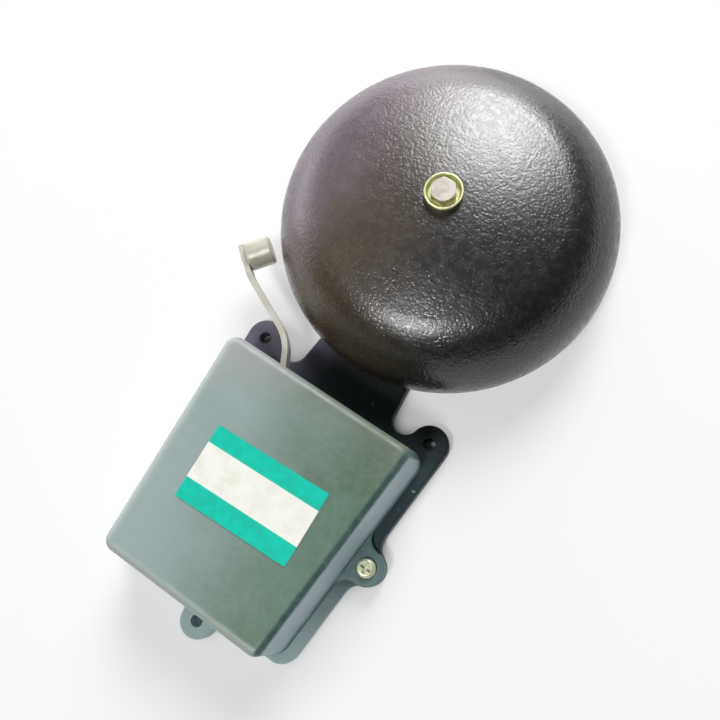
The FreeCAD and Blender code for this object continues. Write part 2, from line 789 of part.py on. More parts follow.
def arm_route():
    """Plan route of the striker strip, whose reach leaves the hammer its gap to the gong's rim."""
    way_out = heading(arm_exit_heading_deg)
    way_along = heading(arm_reach_heading_deg)
    leave = Vector(arm_exit_x, arm_exit_y, 0)
    foot_corner = leave + way_out * ((arm_y - arm_exit_y) / way_out.y)
    elbow = leave + way_out * arm_elbow_run
    start = (elbow + arm_tip_heading * arm_hammer_run + towards_gong * (arm_thickness / 2)
             + Vector(0, gong_offset, 0))
    wanted = gong_radius + hammer_gap + hammer_length
    forward = start.dot(way_along)
    reach = math.sqrt(forward ** 2 - start.dot(start) + wanted ** 2) - forward
    tip_corner = elbow + way_along * reach
    tip = tip_corner + arm_tip_heading * (arm_hammer_run + hammer_dia / 2 - arm_end_setback)
    foot = foot_corner - heading(0) * arm_foot_length
    return [foot, foot_corner, elbow, tip_corner, tip]


arm_points = arm_route()
arm_tail_x = arm_points[0].x
arm_radii = [arm_foot_bend, arm_elbow_bend, arm_tip_bend]
hammer_back = (arm_points[3] + arm_tip_heading * arm_hammer_run + towards_gong * (arm_thickness / 2)
               + Vector(0, 0, magnet_height))
hammer_outer = hammer_back - towards_gong * arm_thickness
arm_rivet_xs = [arm_tail_x + arm_rivet_edge, arm_tail_x + arm_rivet_edge + arm_rivet_spacing]
arm_rivet_spots = [(x, magnet_height) for x in arm_rivet_xs]
leaf_front_y = armature_front_y - leaf_thickness
arm_front_y = leaf_front_y - arm_thickness
clamp_xs = spring_post_x + spring_post_width / 2
clamp_spots = [(clamp_xs, magnet_height - clamp_screw_spacing / 2),
               (clamp_xs, magnet_height + clamp_screw_spacing / 2)]


def rivet(dia, length, head_height):
    """Snap head rivet: head standing on the origin, shank going down."""
    head = rod(rivet_head_dia, Vector(), Vector(0, 0, head_height))
    head = head.makeFillet(head_height * rivet_crown_share, edges_at(head, head_height))
    return head.fuse(rod(dia, Vector(), Vector(0, 0, -length))).removeSplitter()


def striker():
    """Strip, hammer head, armature and their rivets, which swing together."""
    nodes = {}
    strip = ribbon(arm_points, arm_radii, arm_thickness, magnet_height - arm_width / 2,
                   magnet_height + arm_width / 2)
    rivet_hole = arm_rivet_dia + 2 * thread_clearance
    strip = drill_along_y(strip, rivet_hole, arm_rivet_spots, arm_front_y - overrun, armature_front_y)
    hammer_hole = hammer_rivet_dia + 2 * thread_clearance
    depth = hammer_back + towards_gong * hammer_rivet_depth
    pin = rod(hammer_hole, hammer_outer - towards_gong * overrun, depth)
    nodes["striker_arm"] = strip.cut(pin)

    hammer = Part.makeCylinder(hammer_dia / 2, hammer_length)
    hammer = hammer.makeChamfer(hammer_chamfer, edges_at(hammer, 0) + edges_at(hammer, hammer_length))
    hammer.rotate(Vector(), Vector(0, 1, 0), 90)
    hammer.rotate(Vector(), Vector(0, 0, 1), math.degrees(math.atan2(towards_gong.y, towards_gong.x)))
    nodes["hammer_head"] = placed(hammer, *hammer_back).cut(pin)
    hammer_shank = arm_thickness + hammer_rivet_depth - screw_end_gap
    nodes["hammer_rivet"] = aimed(rivet(hammer_rivet_dia, hammer_shank, hammer_rivet_head_height),
                                  -towards_gong, hammer_outer)

    plate = block(armature_left_x, armature_right_x, armature_front_y, armature_back_y,
                  magnet_height - armature_width / 2, magnet_height + armature_width / 2)
    plate = plate.makeChamfer(armature_chamfer, edges_along_y(plate))
    nodes["armature"] = drill_along_y(plate, rivet_hole, arm_rivet_spots, arm_front_y, armature_back_y + overrun)
    shank = armature_back_y - arm_front_y
    nodes["arm_rivets"] = Part.makeCompound(
        [facing_gong(rivet(arm_rivet_dia, shank, rivet_head_height), x, arm_front_y, magnet_height)
         for x in arm_rivet_xs])
    return nodes


def armature_hinge():
    """Leaf spring, and the post, clamp and screws that hold its fixed end."""
    nodes = {}
    post_end = spring_post_x + spring_post_width
    leaf = block(arm_tail_x, post_end, leaf_front_y, armature_front_y,
                 magnet_height - leaf_width / 2, magnet_height + leaf_width / 2)
    rivet_hole = arm_rivet_dia + 2 * thread_clearance
    leaf = drill_along_y(leaf, rivet_hole, arm_rivet_spots, arm_front_y, armature_back_y)
    screw_hole = m3_dia + hole_clearance
    nodes["leaf_spring"] = drill_along_y(leaf, screw_hole, clamp_spots, arm_front_y, armature_back_y)

    middle = spring_post_thickness / 2
    route = [(armature_front_y + middle, magnet_height + spring_post_headroom),
             (armature_front_y + middle, plate_thickness + middle),
             (armature_front_y + spring_post_foot, plate_thickness + middle)]
    post = side_bracket(route, [spring_post_thickness], spring_post_thickness,
                        spring_post_x + spring_post_width / 2, spring_post_width)
    post = drill_along_y(post, m3_dia + 2 * thread_clearance, clamp_spots, leaf_front_y,
                         armature_front_y + spring_post_thickness + overrun)
    foot_top = plate_thickness + spring_post_thickness
    nodes["spring_post"] = drill_down(post, m4_dia + hole_clearance, [spring_post_spot],
                                      foot_top + overrun, plate_thickness - overrun)
    nodes["spring_post_screw"] = plate_screw(spring_post_spot, foot_top)

    clamp_front_y = leaf_front_y - clamp_thickness
    clamp = block(spring_post_x, post_end, clamp_front_y, leaf_front_y,
                  magnet_height - leaf_width / 2, magnet_height + leaf_width / 2)
    nodes["spring_clamp"] = drill_along_y(clamp, screw_hole, clamp_spots, clamp_front_y - overrun,
                                          armature_front_y)
    screw = pan_screw(m3_dia, m3_head_dia, m3_head_height,
                      clamp_thickness + leaf_thickness + spring_post_thickness)
    nodes["clamp_screws"] = Part.makeCompound(
        [facing_gong(screw, x, clamp_front_y, z) for x, z in clamp_spots])
    return nodes


def plate_screw(spot, seat):
    """M4 screw whose head stands at a height and whose end stays short of its blind hole's floor."""
    length = seat - plate_thickness + plate_thread_depth - screw_end_gap
    return placed(pan_screw(m4_dia, m4_head_dia, m4_head_height, length), *spot, seat)


def magnet_core():
    """U-shaped stack of laminations: two legs along Y joined by a yoke."""
    inner = core_leg_spacing / 2 - core_leg_width / 2
    stack = block(core_centre_x - core_reach, core_centre_x + core_reach, pole_y, yoke_far_y,
                  core_bottom, core_top)
    stack = stack.cut(block(core_centre_x - inner, core_centre_x + inner, pole_y - overrun, yoke_near_y,
                            core_bottom - overrun, core_top + overrun))
    return drill_down(stack, m4_dia + hole_clearance, core_screw_spots, core_top + overrun,
                      core_bottom - overrun)


def core_mounting():
    """Bridge under the yoke, the screws through the core with their nuts, and the foot screws."""
    nodes = {}
    half = bracket_thickness / 2
    side = core_reach - half
    reach = side + half + bracket_foot
    low = plate_thickness + half
    high = core_bottom - half
    route = [Vector(-reach, low, 0), Vector(-side, low, 0), Vector(-side, high, 0),
             Vector(side, high, 0), Vector(side, low, 0), Vector(reach, low, 0)]
    bridge = ribbon(route, [bracket_thickness] * 4, bracket_thickness, 0, bracket_depth)
    middle_y = yoke_near_y + core_yoke_depth / 2
    bridge = facing_gong(bridge, core_centre_x, middle_y + bracket_depth / 2, 0)
    clear = m4_dia + hole_clearance
    bridge = drill_down(bridge, clear, core_screw_spots, core_top, plate_thickness + bracket_thickness)
    foot_top = plate_thickness + bracket_thickness
    nodes["core_bracket"] = drill_down(bridge, clear, bracket_spots, foot_top + overrun,
                                       plate_thickness - overrun)
    nodes["bracket_screws"] = Part.makeCompound([plate_screw(spot, foot_top) for spot in bracket_spots])
    nut_top = core_bottom - bracket_thickness
    screw = pan_screw(m4_dia, m4_head_dia, m4_head_height, core_top - nut_top + m4_nut_height)
    nodes["core_screws"] = Part.makeCompound([placed(screw, *spot, core_top) for spot in core_screw_spots])
    nut = drill_down(hexagon(m4_nut_across_flats, m4_nut_height), m4_dia + 2 * thread_clearance, [(0, 0)],
                     m4_nut_height + overrun, -overrun)
    nodes["core_nuts"] = Part.makeCompound(
        [placed(nut, *spot, nut_top - m4_nut_height) for spot in core_screw_spots])
    return nodes


def sleeve(leg_x, near, far, inset, build, corner_radius):
    """Hollow block round a core leg: its hole is the leg grown by inset, its wall is build thick."""
    half_x = core_leg_width / 2 + inset
    half_z = core_stack / 2 + inset
    outer = block(leg_x - half_x - build, leg_x + half_x + build, near, far,
                  magnet_height - half_z - build, magnet_height + half_z + build)
    outer = outer.makeFillet(corner_radius, edges_along_y(outer))
    return outer.cut(block(leg_x - half_x, leg_x + half_x, near - overrun, far + overrun,
                           magnet_height - half_z, magnet_height + half_z))


def bobbin(leg_x):
    """Moulded former: a tube round the core leg between two flanges."""
    flange_build = bobbin_wall + winding_build + flange_overhang
    former = sleeve(leg_x, bobbin_near_y, bobbin_far_y, bobbin_clearance, bobbin_wall, bobbin_wall / 2)
    for near in (bobbin_near_y, bobbin_far_y - bobbin_flange):
        former = former.fuse(sleeve(leg_x, near, near + bobbin_flange, bobbin_clearance, flange_build,
                                    bobbin_corner_radius))
    return former.removeSplitter()


def winding(leg_x):
    """Enamelled wire coil that fills the bobbin between its flanges."""
    near = bobbin_near_y + bobbin_flange
    far = bobbin_far_y - bobbin_flange
    coil = sleeve(leg_x, near, far, bobbin_clearance, bobbin_wall + winding_build, winding_build)
    return coil.cut(sleeve(leg_x, near - overrun, far + overrun, bobbin_clearance, bobbin_wall,
                           bobbin_wall / 2))


def stop_adjuster():
    """Bracket, slotted screw and locknut that set how far the armature falls back."""
    nodes = {}
    middle = stop_bracket_thickness / 2
    route = [(stop_bracket_y + middle, magnet_height + stop_bracket_headroom),
             (stop_bracket_y + middle, plate_thickness + middle),
             (stop_bracket_y + stop_bracket_foot, plate_thickness + middle)]
    bracket = side_bracket(route, [stop_bracket_thickness], stop_bracket_thickness, stop_x,
                           stop_bracket_width)
    spot = [(stop_x, magnet_height)]
    bore = stop_screw_dia + 2 * thread_clearance
    bracket = drill_along_y(bracket, bore, spot, stop_bracket_y - overrun,
                            stop_bracket_y + stop_bracket_thickness + overrun)
    foot_top = plate_thickness + stop_bracket_thickness
    nodes["stop_bracket"] = drill_down(bracket, m4_dia + hole_clearance, [stop_bracket_spot],
                                       foot_top + overrun, plate_thickness - overrun)
    nodes["stop_bracket_screw"] = plate_screw(stop_bracket_spot, foot_top)

    screw = rod(stop_screw_dia, Vector(stop_x, stop_end_y, magnet_height),
                Vector(stop_x, stop_tip_y, magnet_height))
    half = stop_slot_width / 2
    nodes["stop_screw"] = screw.cut(
        block(stop_x - stop_screw_dia, stop_x + stop_screw_dia, stop_end_y - overrun,
              stop_end_y + stop_slot_depth, magnet_height - half, magnet_height + half))
    nut = drill_down(hexagon(stop_nut_across_flats, stop_nut_thickness), bore, [(0, 0)],
                     stop_nut_thickness + overrun, -overrun)
    nodes["stop_locknut"] = facing_gong(nut, stop_x, stop_bracket_y, magnet_height)
    return nodes


terminal_xs = [block_x - terminal_spacing / 2, block_x + terminal_spacing / 2]
terminal_ys = [block_near_y + terminal_screw_edge, block_near_y + block_depth - terminal_screw_edge]
terminal_spots = [(x, y) for x in terminal_xs for y in terminal_ys]
terminal_ends = [(x, terminal_height) for x in terminal_xs]


def terminals():
    """Two-way terminal block with its brass tubes and screws, and its fixing screw."""
    nodes = {}
    far_y = block_near_y + block_depth
    top = plate_thickness + block_height
    body = block(block_x - block_width / 2, block_x + block_width / 2, block_near_y, far_y,
                 plate_thickness, top)
    body = body.makeFillet(block_edge_radius, edges_at(body, top))
    saddle = top - block_saddle_depth
    half = block_saddle_width / 2
    body = body.cut(block(block_x - half, block_x + half, block_near_y - overrun, far_y + overrun,
                          saddle, top + overrun))
    body = drill_along_y(body, terminal_tube_dia + 2 * thread_clearance, terminal_ends,
                         block_near_y - overrun, far_y + overrun)
    body = drill_down(body, terminal_well_dia, terminal_spots, top + overrun, terminal_height)
    nodes["terminal_block"] = drill_down(body, m4_dia + hole_clearance, [block_spot], top + overrun,
                                         plate_thickness - overrun)
    nodes["terminal_block_screw"] = plate_screw(block_spot, saddle)

    thread = m3_dia + 2 * thread_clearance
    tubes = [ring(terminal_tube_dia, terminal_tube_bore, Vector(x, block_near_y, terminal_height),
                  Vector(x, far_y, terminal_height)) for x in terminal_xs]
    tubes = [drill_down(tube_, thread, terminal_spots, top, terminal_height) for tube_ in tubes]
    nodes["terminal_tubes"] = Part.makeCompound(tubes)
    seat = top - terminal_screw_sink - m3_head_height
    tip = wire_end_height + wire_dia / 2 + thread_clearance
    screw = pan_screw(m3_dia, m3_head_dia, m3_head_height, seat - tip)
    nodes["terminal_screws"] = Part.makeCompound([placed(screw, *spot, seat) for spot in terminal_spots])
    return nodes


def earth_terminal():
    """Screw and washer on a small boss, for the earth wire."""
    boss = plate_thickness + earth_boss_height
    seat = boss + earth_washer_thickness
    length = seat - plate_thickness + plate_thread_depth - screw_end_gap
    screw = pan_screw(m4_dia, m4_head_dia, m4_head_height, length)
    return {
        "earth_washer": ring(earth_washer_dia, m4_dia + hole_clearance, Vector(earth_x, earth_y, boss),
                             Vector(earth_x, earth_y, seat)),
        "earth_screw": placed(screw, earth_x, earth_y, seat),
    }


def inner_wires():
    """Insulated leads from the bobbins to the terminals, and the link between the windings."""
    high = core_top + lead_over_core + wire_dia / 2
    ends = terminal_ys[0]
    lead_left_x, lead_right_x = (x + lead_head_clearance for x, y in core_screw_spots)
    left_x, right_x = terminal_xs
    right = [Vector(lead_right_x, bobbin_far_y, high), Vector(lead_right_x, lead_drop_y, high),
             Vector(right_x, lead_drop_y, wire_end_height), Vector(right_x, ends, wire_end_height)]
    left = [Vector(lead_left_x, bobbin_far_y, high), Vector(lead_left_x, lead_drop_y - wire_bend, high),
            Vector(left_x, lead_drop_y, high - wire_dia), Vector(left_x, lead_drop_y, wire_end_height),
            Vector(left_x, ends, wire_end_height)]
    build = core_leg_width / 2 + bobbin_clearance + bobbin_wall + winding_build
    from_x = leg_right_x - build
    to_x = leg_left_x + build
    link_y = (bobbin_near_y + bobbin_far_y) / 2
    link = [Vector(from_x, link_y, magnet_height), Vector(from_x - link_run, link_y, magnet_height),
            Vector((from_x + to_x) / 2, link_y + link_bow, magnet_height),
            Vector(to_x + link_run, link_y, magnet_height), Vector(to_x, link_y, magnet_height)]
    return {
        "lead_wire_right": tube(right, [wire_bend] * 2, wire_dia),
        "lead_wire_left": tube(left, [wire_bend] * 3, wire_dia),
        "coil_link_wire": tube(link, [link_bend] * 3, wire_dia),
    }


def cover_screw():
    """Screw in the pocket of the cover's lug."""
    seat = plate_thickness + cover_lug_thickness - screw_pocket_depth
    length = seat - plate_thickness + cover_thread_depth - screw_end_gap
    return placed(pan_screw(m5_dia, m5_head_dia, m5_head_height, length), *lug_spot, seat)


nodes = {
    "base_plate": base_plate(),
    "cover": cover(),
    "cover_screw": cover_screw(),
    "label_plate": label_plate(),
    "cable_grommet": cable_grommet(),
    "gong": gong(),
    "magnet_core": magnet_core(),
    "bobbin_right": bobbin(leg_right_x),
    "bobbin_left": bobbin(leg_left_x),
    "winding_right": winding(leg_right_x),
    "winding_left": winding(leg_left_x),
}
for group in (gong_fixing, striker, armature_hinge, core_mounting, stop_adjuster, terminals,
              earth_terminal, inner_wires):
    nodes.update(group())

os.makedirs("parts", exist_ok=True)
for name, shape in nodes.items():
    if not shape.isValid():
        print("not valid:", name)
    shape.exportStep(os.path.join("parts", name + ".step"))
    box = shape.BoundBox
    print(f"{name}: {len(shape.Solids)} solids, x {box.XMin:.1f} {box.XMax:.1f}, "
          f"y {box.YMin:.1f} {box.YMax:.1f}, z {box.ZMin:.1f} {box.ZMax:.1f}")
print(f"strip reach {(arm_points[3] - arm_points[2]).Length:.2f}")
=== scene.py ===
"""Looks of a mains electric bell that lies on its back on a pale table.

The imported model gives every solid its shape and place. This script dresses
each solid in its own procedural finish, models the wound and stacked pieces
turn by turn and sheet by sheet, and sets up the table, the light and the
camera. Metres, +Z out of the wall, +Y from the gong towards the cover.
"""
import logging
import math
from dataclasses import dataclass, field
from enum import Enum
from typing import Any

import bpy
from mathutils import Matrix, Vector


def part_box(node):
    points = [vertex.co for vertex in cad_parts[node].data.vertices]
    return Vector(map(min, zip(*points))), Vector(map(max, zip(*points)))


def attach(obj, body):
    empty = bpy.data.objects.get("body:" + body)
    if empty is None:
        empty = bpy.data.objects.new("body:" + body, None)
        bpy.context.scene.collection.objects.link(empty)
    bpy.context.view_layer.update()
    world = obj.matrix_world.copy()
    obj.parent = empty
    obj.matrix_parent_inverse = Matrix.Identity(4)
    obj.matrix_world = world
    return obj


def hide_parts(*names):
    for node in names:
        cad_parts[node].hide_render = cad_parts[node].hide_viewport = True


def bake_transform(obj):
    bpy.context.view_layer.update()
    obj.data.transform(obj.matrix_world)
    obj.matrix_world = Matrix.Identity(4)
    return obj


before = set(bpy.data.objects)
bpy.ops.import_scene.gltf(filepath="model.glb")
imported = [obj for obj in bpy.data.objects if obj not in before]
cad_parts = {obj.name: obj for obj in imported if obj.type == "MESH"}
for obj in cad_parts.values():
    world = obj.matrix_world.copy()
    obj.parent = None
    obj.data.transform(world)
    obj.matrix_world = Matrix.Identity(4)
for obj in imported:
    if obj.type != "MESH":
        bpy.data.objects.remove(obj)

LOG = logging.getLogger("electric_bell")
MM = 0.001

Rgb = tuple[float, float, float]
Node = bpy.types.Node
Piece = bpy.types.Object
Socket = bpy.types.NodeSocket
Sockets = dict[str, Socket]


class Effect(Enum):
    """Surface effects that several finishes share, named as their node groups."""

    GRAIN = "surface_grain"
    CLOUDS = "soft_clouds"
    PITS = "cast_pits"
    STREAKS = "drawn_streaks"
    RUBBED = "worn_and_lit_edges"
    FADE = "side_fade"


class Body(Enum):
    """Rigid bodies that carry the pieces modelled here."""

    BASE = "base"
    STRIKER = "striker"


class Shader:
    """A node tree with short calls that add, set and join its nodes."""

    def __init__(self, tree: bpy.types.NodeTree) -> None:
        """Take the tree of a material, a world or a group."""
        self.tree = tree

    def add(self, kind: str, inputs: dict[Any, Any] | None = None, **settings: Any) -> Node:
        """Add one node.

        Args:
            kind: Blender's name for the node's type.
            inputs: Values or sockets to put into the node's inputs, by name or place.
            **settings: Properties of the node.

        Returns:
            The new node.
        """
        node = self.tree.nodes.new(kind)
        for name, value in settings.items():
            setattr(node, name, value)
        for name, value in (inputs or {}).items():
            self.feed(node.inputs[name], value)
        return node

    def feed(self, socket: Socket, value: Any) -> None:
        """Join a socket to another one, or give it a plain value.

        Args:
            socket: Input to fill.
            value: Output socket, number or tuple.
        """
        if isinstance(value, Socket):
            self.tree.links.new(value, socket)
        elif socket.type == "RGBA" and len(value) == 3:
            socket.default_value = (*value, 1.0)
        else:
            socket.default_value = value

    def math(self, operation: str, first: Any, second: Any = 0.0) -> Socket:
        """Return the result of one sum on two values."""
        return self.add("ShaderNodeMath", {0: first, 1: second}, operation=operation).outputs[0]

    def times(self, first: Any, second: Any) -> Socket:
        """Return the product of two values."""
        return self.math("MULTIPLY", first, second)

    def vector(self, operation: str, first: Any, second: Any = (0.0, 0.0, 0.0)) -> Node:
        """Return the node of one sum on two vectors."""
        return self.add("ShaderNodeVectorMath", {0: first, 1: second}, operation=operation)

    def place(self) -> Socket:
        """Return the piece's own coordinates, in metres."""
        return self.add("ShaderNodeTexCoord").outputs["Object"]

    def noise(self, place: Any, size: Any, **inputs: Any) -> Node:
        """Add a noise texture.

        Args:
            place: Socket with the coordinates.
            size: Size of its patches, in metres.
            **inputs: The texture's other inputs, in small letters.

        Returns:
            The texture's node.
        """
        named = {name.title(): value for name, value in inputs.items()}
        return self.add("ShaderNodeTexNoise", {"Vector": place, "Scale": self.math("DIVIDE", 1.0, size), **named})

    def ramp(self, value: Any, low: Any, high: Any, start: float = 0.0, end: float = 1.0) -> Socket:
        """Turn a range of values into another one with soft ends.

        Args:
            value: Socket to read.
            low: Value that gives start.
            high: Value that gives end.
            start: Result at low.
            end: Result at high.

        Returns:
            The socket with the result.
        """
        node = self.add("ShaderNodeMapRange", {0: value, 1: low, 2: high, 3: start, 4: end},
                        interpolation_type="SMOOTHSTEP")
        return node.outputs[0]

    def mix(self, share: Any, first: Any, second: Any, blend: str = "MIX") -> Socket:
        """Mix two colours.

        Args:
            share: How much of the second colour, from 0 to 1.
            first: Colour or socket.
            second: Colour or socket.
            blend: Blender's name for the way of mixing.

        Returns:
            The socket with the mixed colour.
        """
        node = self.add("ShaderNodeMix", data_type="RGBA", blend_type=blend)
        for place, value in ((0, share), (6, first), (7, second)):
            self.feed(node.inputs[place], value)
        return node.outputs[2]

    def effect(self, kind: Effect, **values: Any) -> Sockets:
        """Place one of the shared effects.

        Args:
            kind: Which effect.
            **values: The group's inputs, with underscores for spaces.

        Returns:
            The group's outputs by name.
        """
        node = self.tree.nodes.new("ShaderNodeGroup")
        node.node_tree = EffectShop.group(kind)
        for name, value in values.items():
            self.feed(node.inputs[name.replace("_", " ").title()], value)
        return {socket.name: socket for socket in node.outputs}

    def bump(self, height: Any, distance: float) -> Socket:
        """Return the normal of a height from 0 to 1, where 1 stands out by a distance in metres."""
        node = self.add("ShaderNodeBump", {"Height": height, "Distance": distance, "Strength": 1.0})
        return node.outputs["Normal"]


class EffectShop:
    """Builds each shared effect once, as a node group that reads object coordinates."""

    cell_wander: float = 0.9
    cell_softness: float = 0.6
    streak_span: tuple[float, float] = (0.42, 0.68)
    sharp_span: tuple[float, float] = (0.995, 0.93)
    edge_break_span: tuple[float, float] = (0.42, 0.62)

    @classmethod
    def group(cls, kind: Effect) -> bpy.types.NodeTree:
        """Return the node group of an effect, building it at its first use.

        Args:
            kind: Which effect.

        Returns:
            The node group.
        """
        ready = bpy.data.node_groups.get(kind.value)
        if ready is not None:
            return ready
        makers = {
            Effect.GRAIN: cls._grain,
            Effect.CLOUDS: cls._clouds,
            Effect.PITS: cls._pits,
            Effect.STREAKS: cls._streaks,
            Effect.RUBBED: cls._worn_and_lit,
            Effect.FADE: cls._fade,
        }
        tree = bpy.data.node_groups.new(kind.value, "ShaderNodeTree")
        makers[kind](Shader(tree))
        return tree

    @staticmethod
    def _sockets(shader: Shader, inputs: dict[str, Any], outputs: tuple[str, ...]) -> tuple[Sockets, Node]:
        """Give a group its inputs and outputs.

        Args:
            shader: The group.
            inputs: Default value by name; a tuple is a colour.
            outputs: Names; the one called Color is a colour.

        Returns:
            The input sockets by name, and the output node.
        """
        face = shader.tree.interface
        for name, value in inputs.items():
            is_color = isinstance(value, tuple)
            socket = face.new_socket(name=name, in_out="INPUT",
                                     socket_type="NodeSocketColor" if is_color else "NodeSocketFloat")
            socket.default_value = (*value, 1.0) if is_color else value
        for name in outputs:
            face.new_socket(name=name, in_out="OUTPUT",
                            socket_type="NodeSocketColor" if name == "Color" else "NodeSocketFloat")
        given = shader.add("NodeGroupInput")
        result = shader.add("NodeGroupOutput")
        return {name: given.outputs[name] for name in inputs}, result

    @staticmethod
    def _moved(shader: Shader, seed: Any) -> Socket:
        """Return object coordinates moved by a seed, so that two uses differ."""
        return shader.vector("ADD", shader.place(), seed).outputs[0]

    @classmethod
    def _grain(cls, shader: Shader) -> None:
        """Fine even noise of one size, as a mask and a height.

        Args:
            shader: The group to fill.
        """
        given, result = cls._sockets(
            shader, {"Size": 0.001, "Detail": 2.0, "Low": 0.4, "High": 0.6, "Seed": 0.0}, ("Mask", "Height"))
        noise = shader.noise(cls._moved(shader, given["Seed"]), given["Size"], detail=given["Detail"]).outputs[0]
        shader.feed(result.inputs["Mask"], shader.ramp(noise, given["Low"], given["High"]))
        shader.feed(result.inputs["Height"], noise)

    @classmethod
    def _clouds(cls, shader: Shader) -> None:
        """Large soft patches of two colours.

        Args:
            shader: The group to fill.
        """
        given, result = cls._sockets(
            shader, {"First": (0.5, 0.5, 0.5), "Second": (0.4, 0.4, 0.4), "Size": 0.03, "Low": 0.35, "High": 0.65,
                     "Seed": 0.0}, ("Color", "Mask"))
        noise = shader.noise(cls._moved(shader, given["Seed"]), given["Size"],
                             detail=3.0, roughness=0.55, distortion=0.4)
        mask = shader.ramp(noise.outputs[0], given["Low"], given["High"])
        shader.feed(result.inputs["Color"], shader.mix(mask, given["First"], given["Second"]))
        shader.feed(result.inputs["Mask"], mask)

    @classmethod
    def _pits(cls, shader: Shader) -> None:
        """Rounded, wandering cells, as on sand castings.

        Args:
            shader: The group to fill.
        """
        given, result = cls._sockets(shader, {"Size": 0.002, "Seed": 0.0}, ("Height",))
        place = cls._moved(shader, given["Seed"])
        wander = shader.noise(place, given["Size"], detail=1.0).outputs["Color"]
        shift = shader.add("ShaderNodeVectorMath", {0: wander, 3: shader.times(given["Size"], cls.cell_wander)},
                           operation="SCALE")
        cells = shader.add("ShaderNodeTexVoronoi", {
            "Vector": shader.vector("ADD", place, shift.outputs[0]).outputs[0],
            "Scale": shader.math("DIVIDE", 1.0, given["Size"]), "Smoothness": cls.cell_softness},
            feature="SMOOTH_F1")
        shader.feed(result.inputs["Height"], shader.math("SUBTRACT", 1.0, cells.outputs["Distance"]))

    @classmethod
    def _streaks(cls, shader: Shader) -> None:
        """Fine parallel lines left by drawing, grinding or turning.

        Args:
            shader: The group to fill.
        """
        given, result = cls._sockets(
            shader, {"Size": 0.0003, "Along X": 1.0, "Along Y": 1.0, "Along Z": 1.0, "Seed": 0.0}, ("Mask", "Height"))
        stretch = shader.add("ShaderNodeCombineXYZ", {0: given["Along X"], 1: given["Along Y"], 2: given["Along Z"]})
        place = shader.vector("MULTIPLY", cls._moved(shader, given["Seed"]), stretch.outputs[0]).outputs[0]
        noise = shader.noise(place, given["Size"], detail=3.0, roughness=0.65).outputs[0]
        shader.feed(result.inputs["Mask"], shader.ramp(noise, *cls.streak_span))
        shader.feed(result.inputs["Height"], noise)

    @classmethod
    def _worn_and_lit(cls, shader: Shader) -> None:
        """Broken mask along sharp edges, for rubbed coat and for painted highlights.

        Args:
            shader: The group to fill.
        """
        given, result = cls._sockets(shader, {"Reach": 0.0008, "Size": 0.004, "Amount": 0.5, "Seed": 0.0}, ("Mask",))
        rounded = shader.add("ShaderNodeBevel", {"Radius": given["Reach"]}, samples=4).outputs[0]
        flat = shader.add("ShaderNodeNewGeometry").outputs["Normal"]
        edge = shader.ramp(shader.vector("DOT_PRODUCT", rounded, flat).outputs["Value"], *cls.sharp_span)
        noise = shader.noise(cls._moved(shader, given["Seed"]), given["Size"], detail=4.0, roughness=0.7)
        broken = shader.times(edge, shader.ramp(noise.outputs[0], *cls.edge_break_span))
        shader.feed(result.inputs["Mask"], shader.times(broken, given["Amount"]))

    @classmethod
    def _fade(cls, shader: Shader) -> None:
        """Slow change from one side of a piece to the other, with a broken border.

        Args:
            shader: The group to fill.
        """
        given, result = cls._sockets(
            shader, {"Along X": 0.0, "Along Y": 0.0, "Along Z": 0.0, "Start": 0.0, "End": 0.1,
                     "Broken": 0.0, "Size": 0.01, "Seed": 0.0}, ("Mask",))
        axis = shader.add("ShaderNodeCombineXYZ", {0: given["Along X"], 1: given["Along Y"], 2: given["Along Z"]})
        along = shader.vector("DOT_PRODUCT", shader.place(), axis.outputs[0]).outputs["Value"]
        noise = shader.noise(cls._moved(shader, given["Seed"]), given["Size"], detail=4.0, roughness=0.6)
        shift = shader.times(shader.math("SUBTRACT", noise.outputs[0], 0.5), given["Broken"])
        mask = shader.ramp(shader.math("ADD", along, shift), given["Start"], given["End"])
        shader.feed(result.inputs["Mask"], mask)


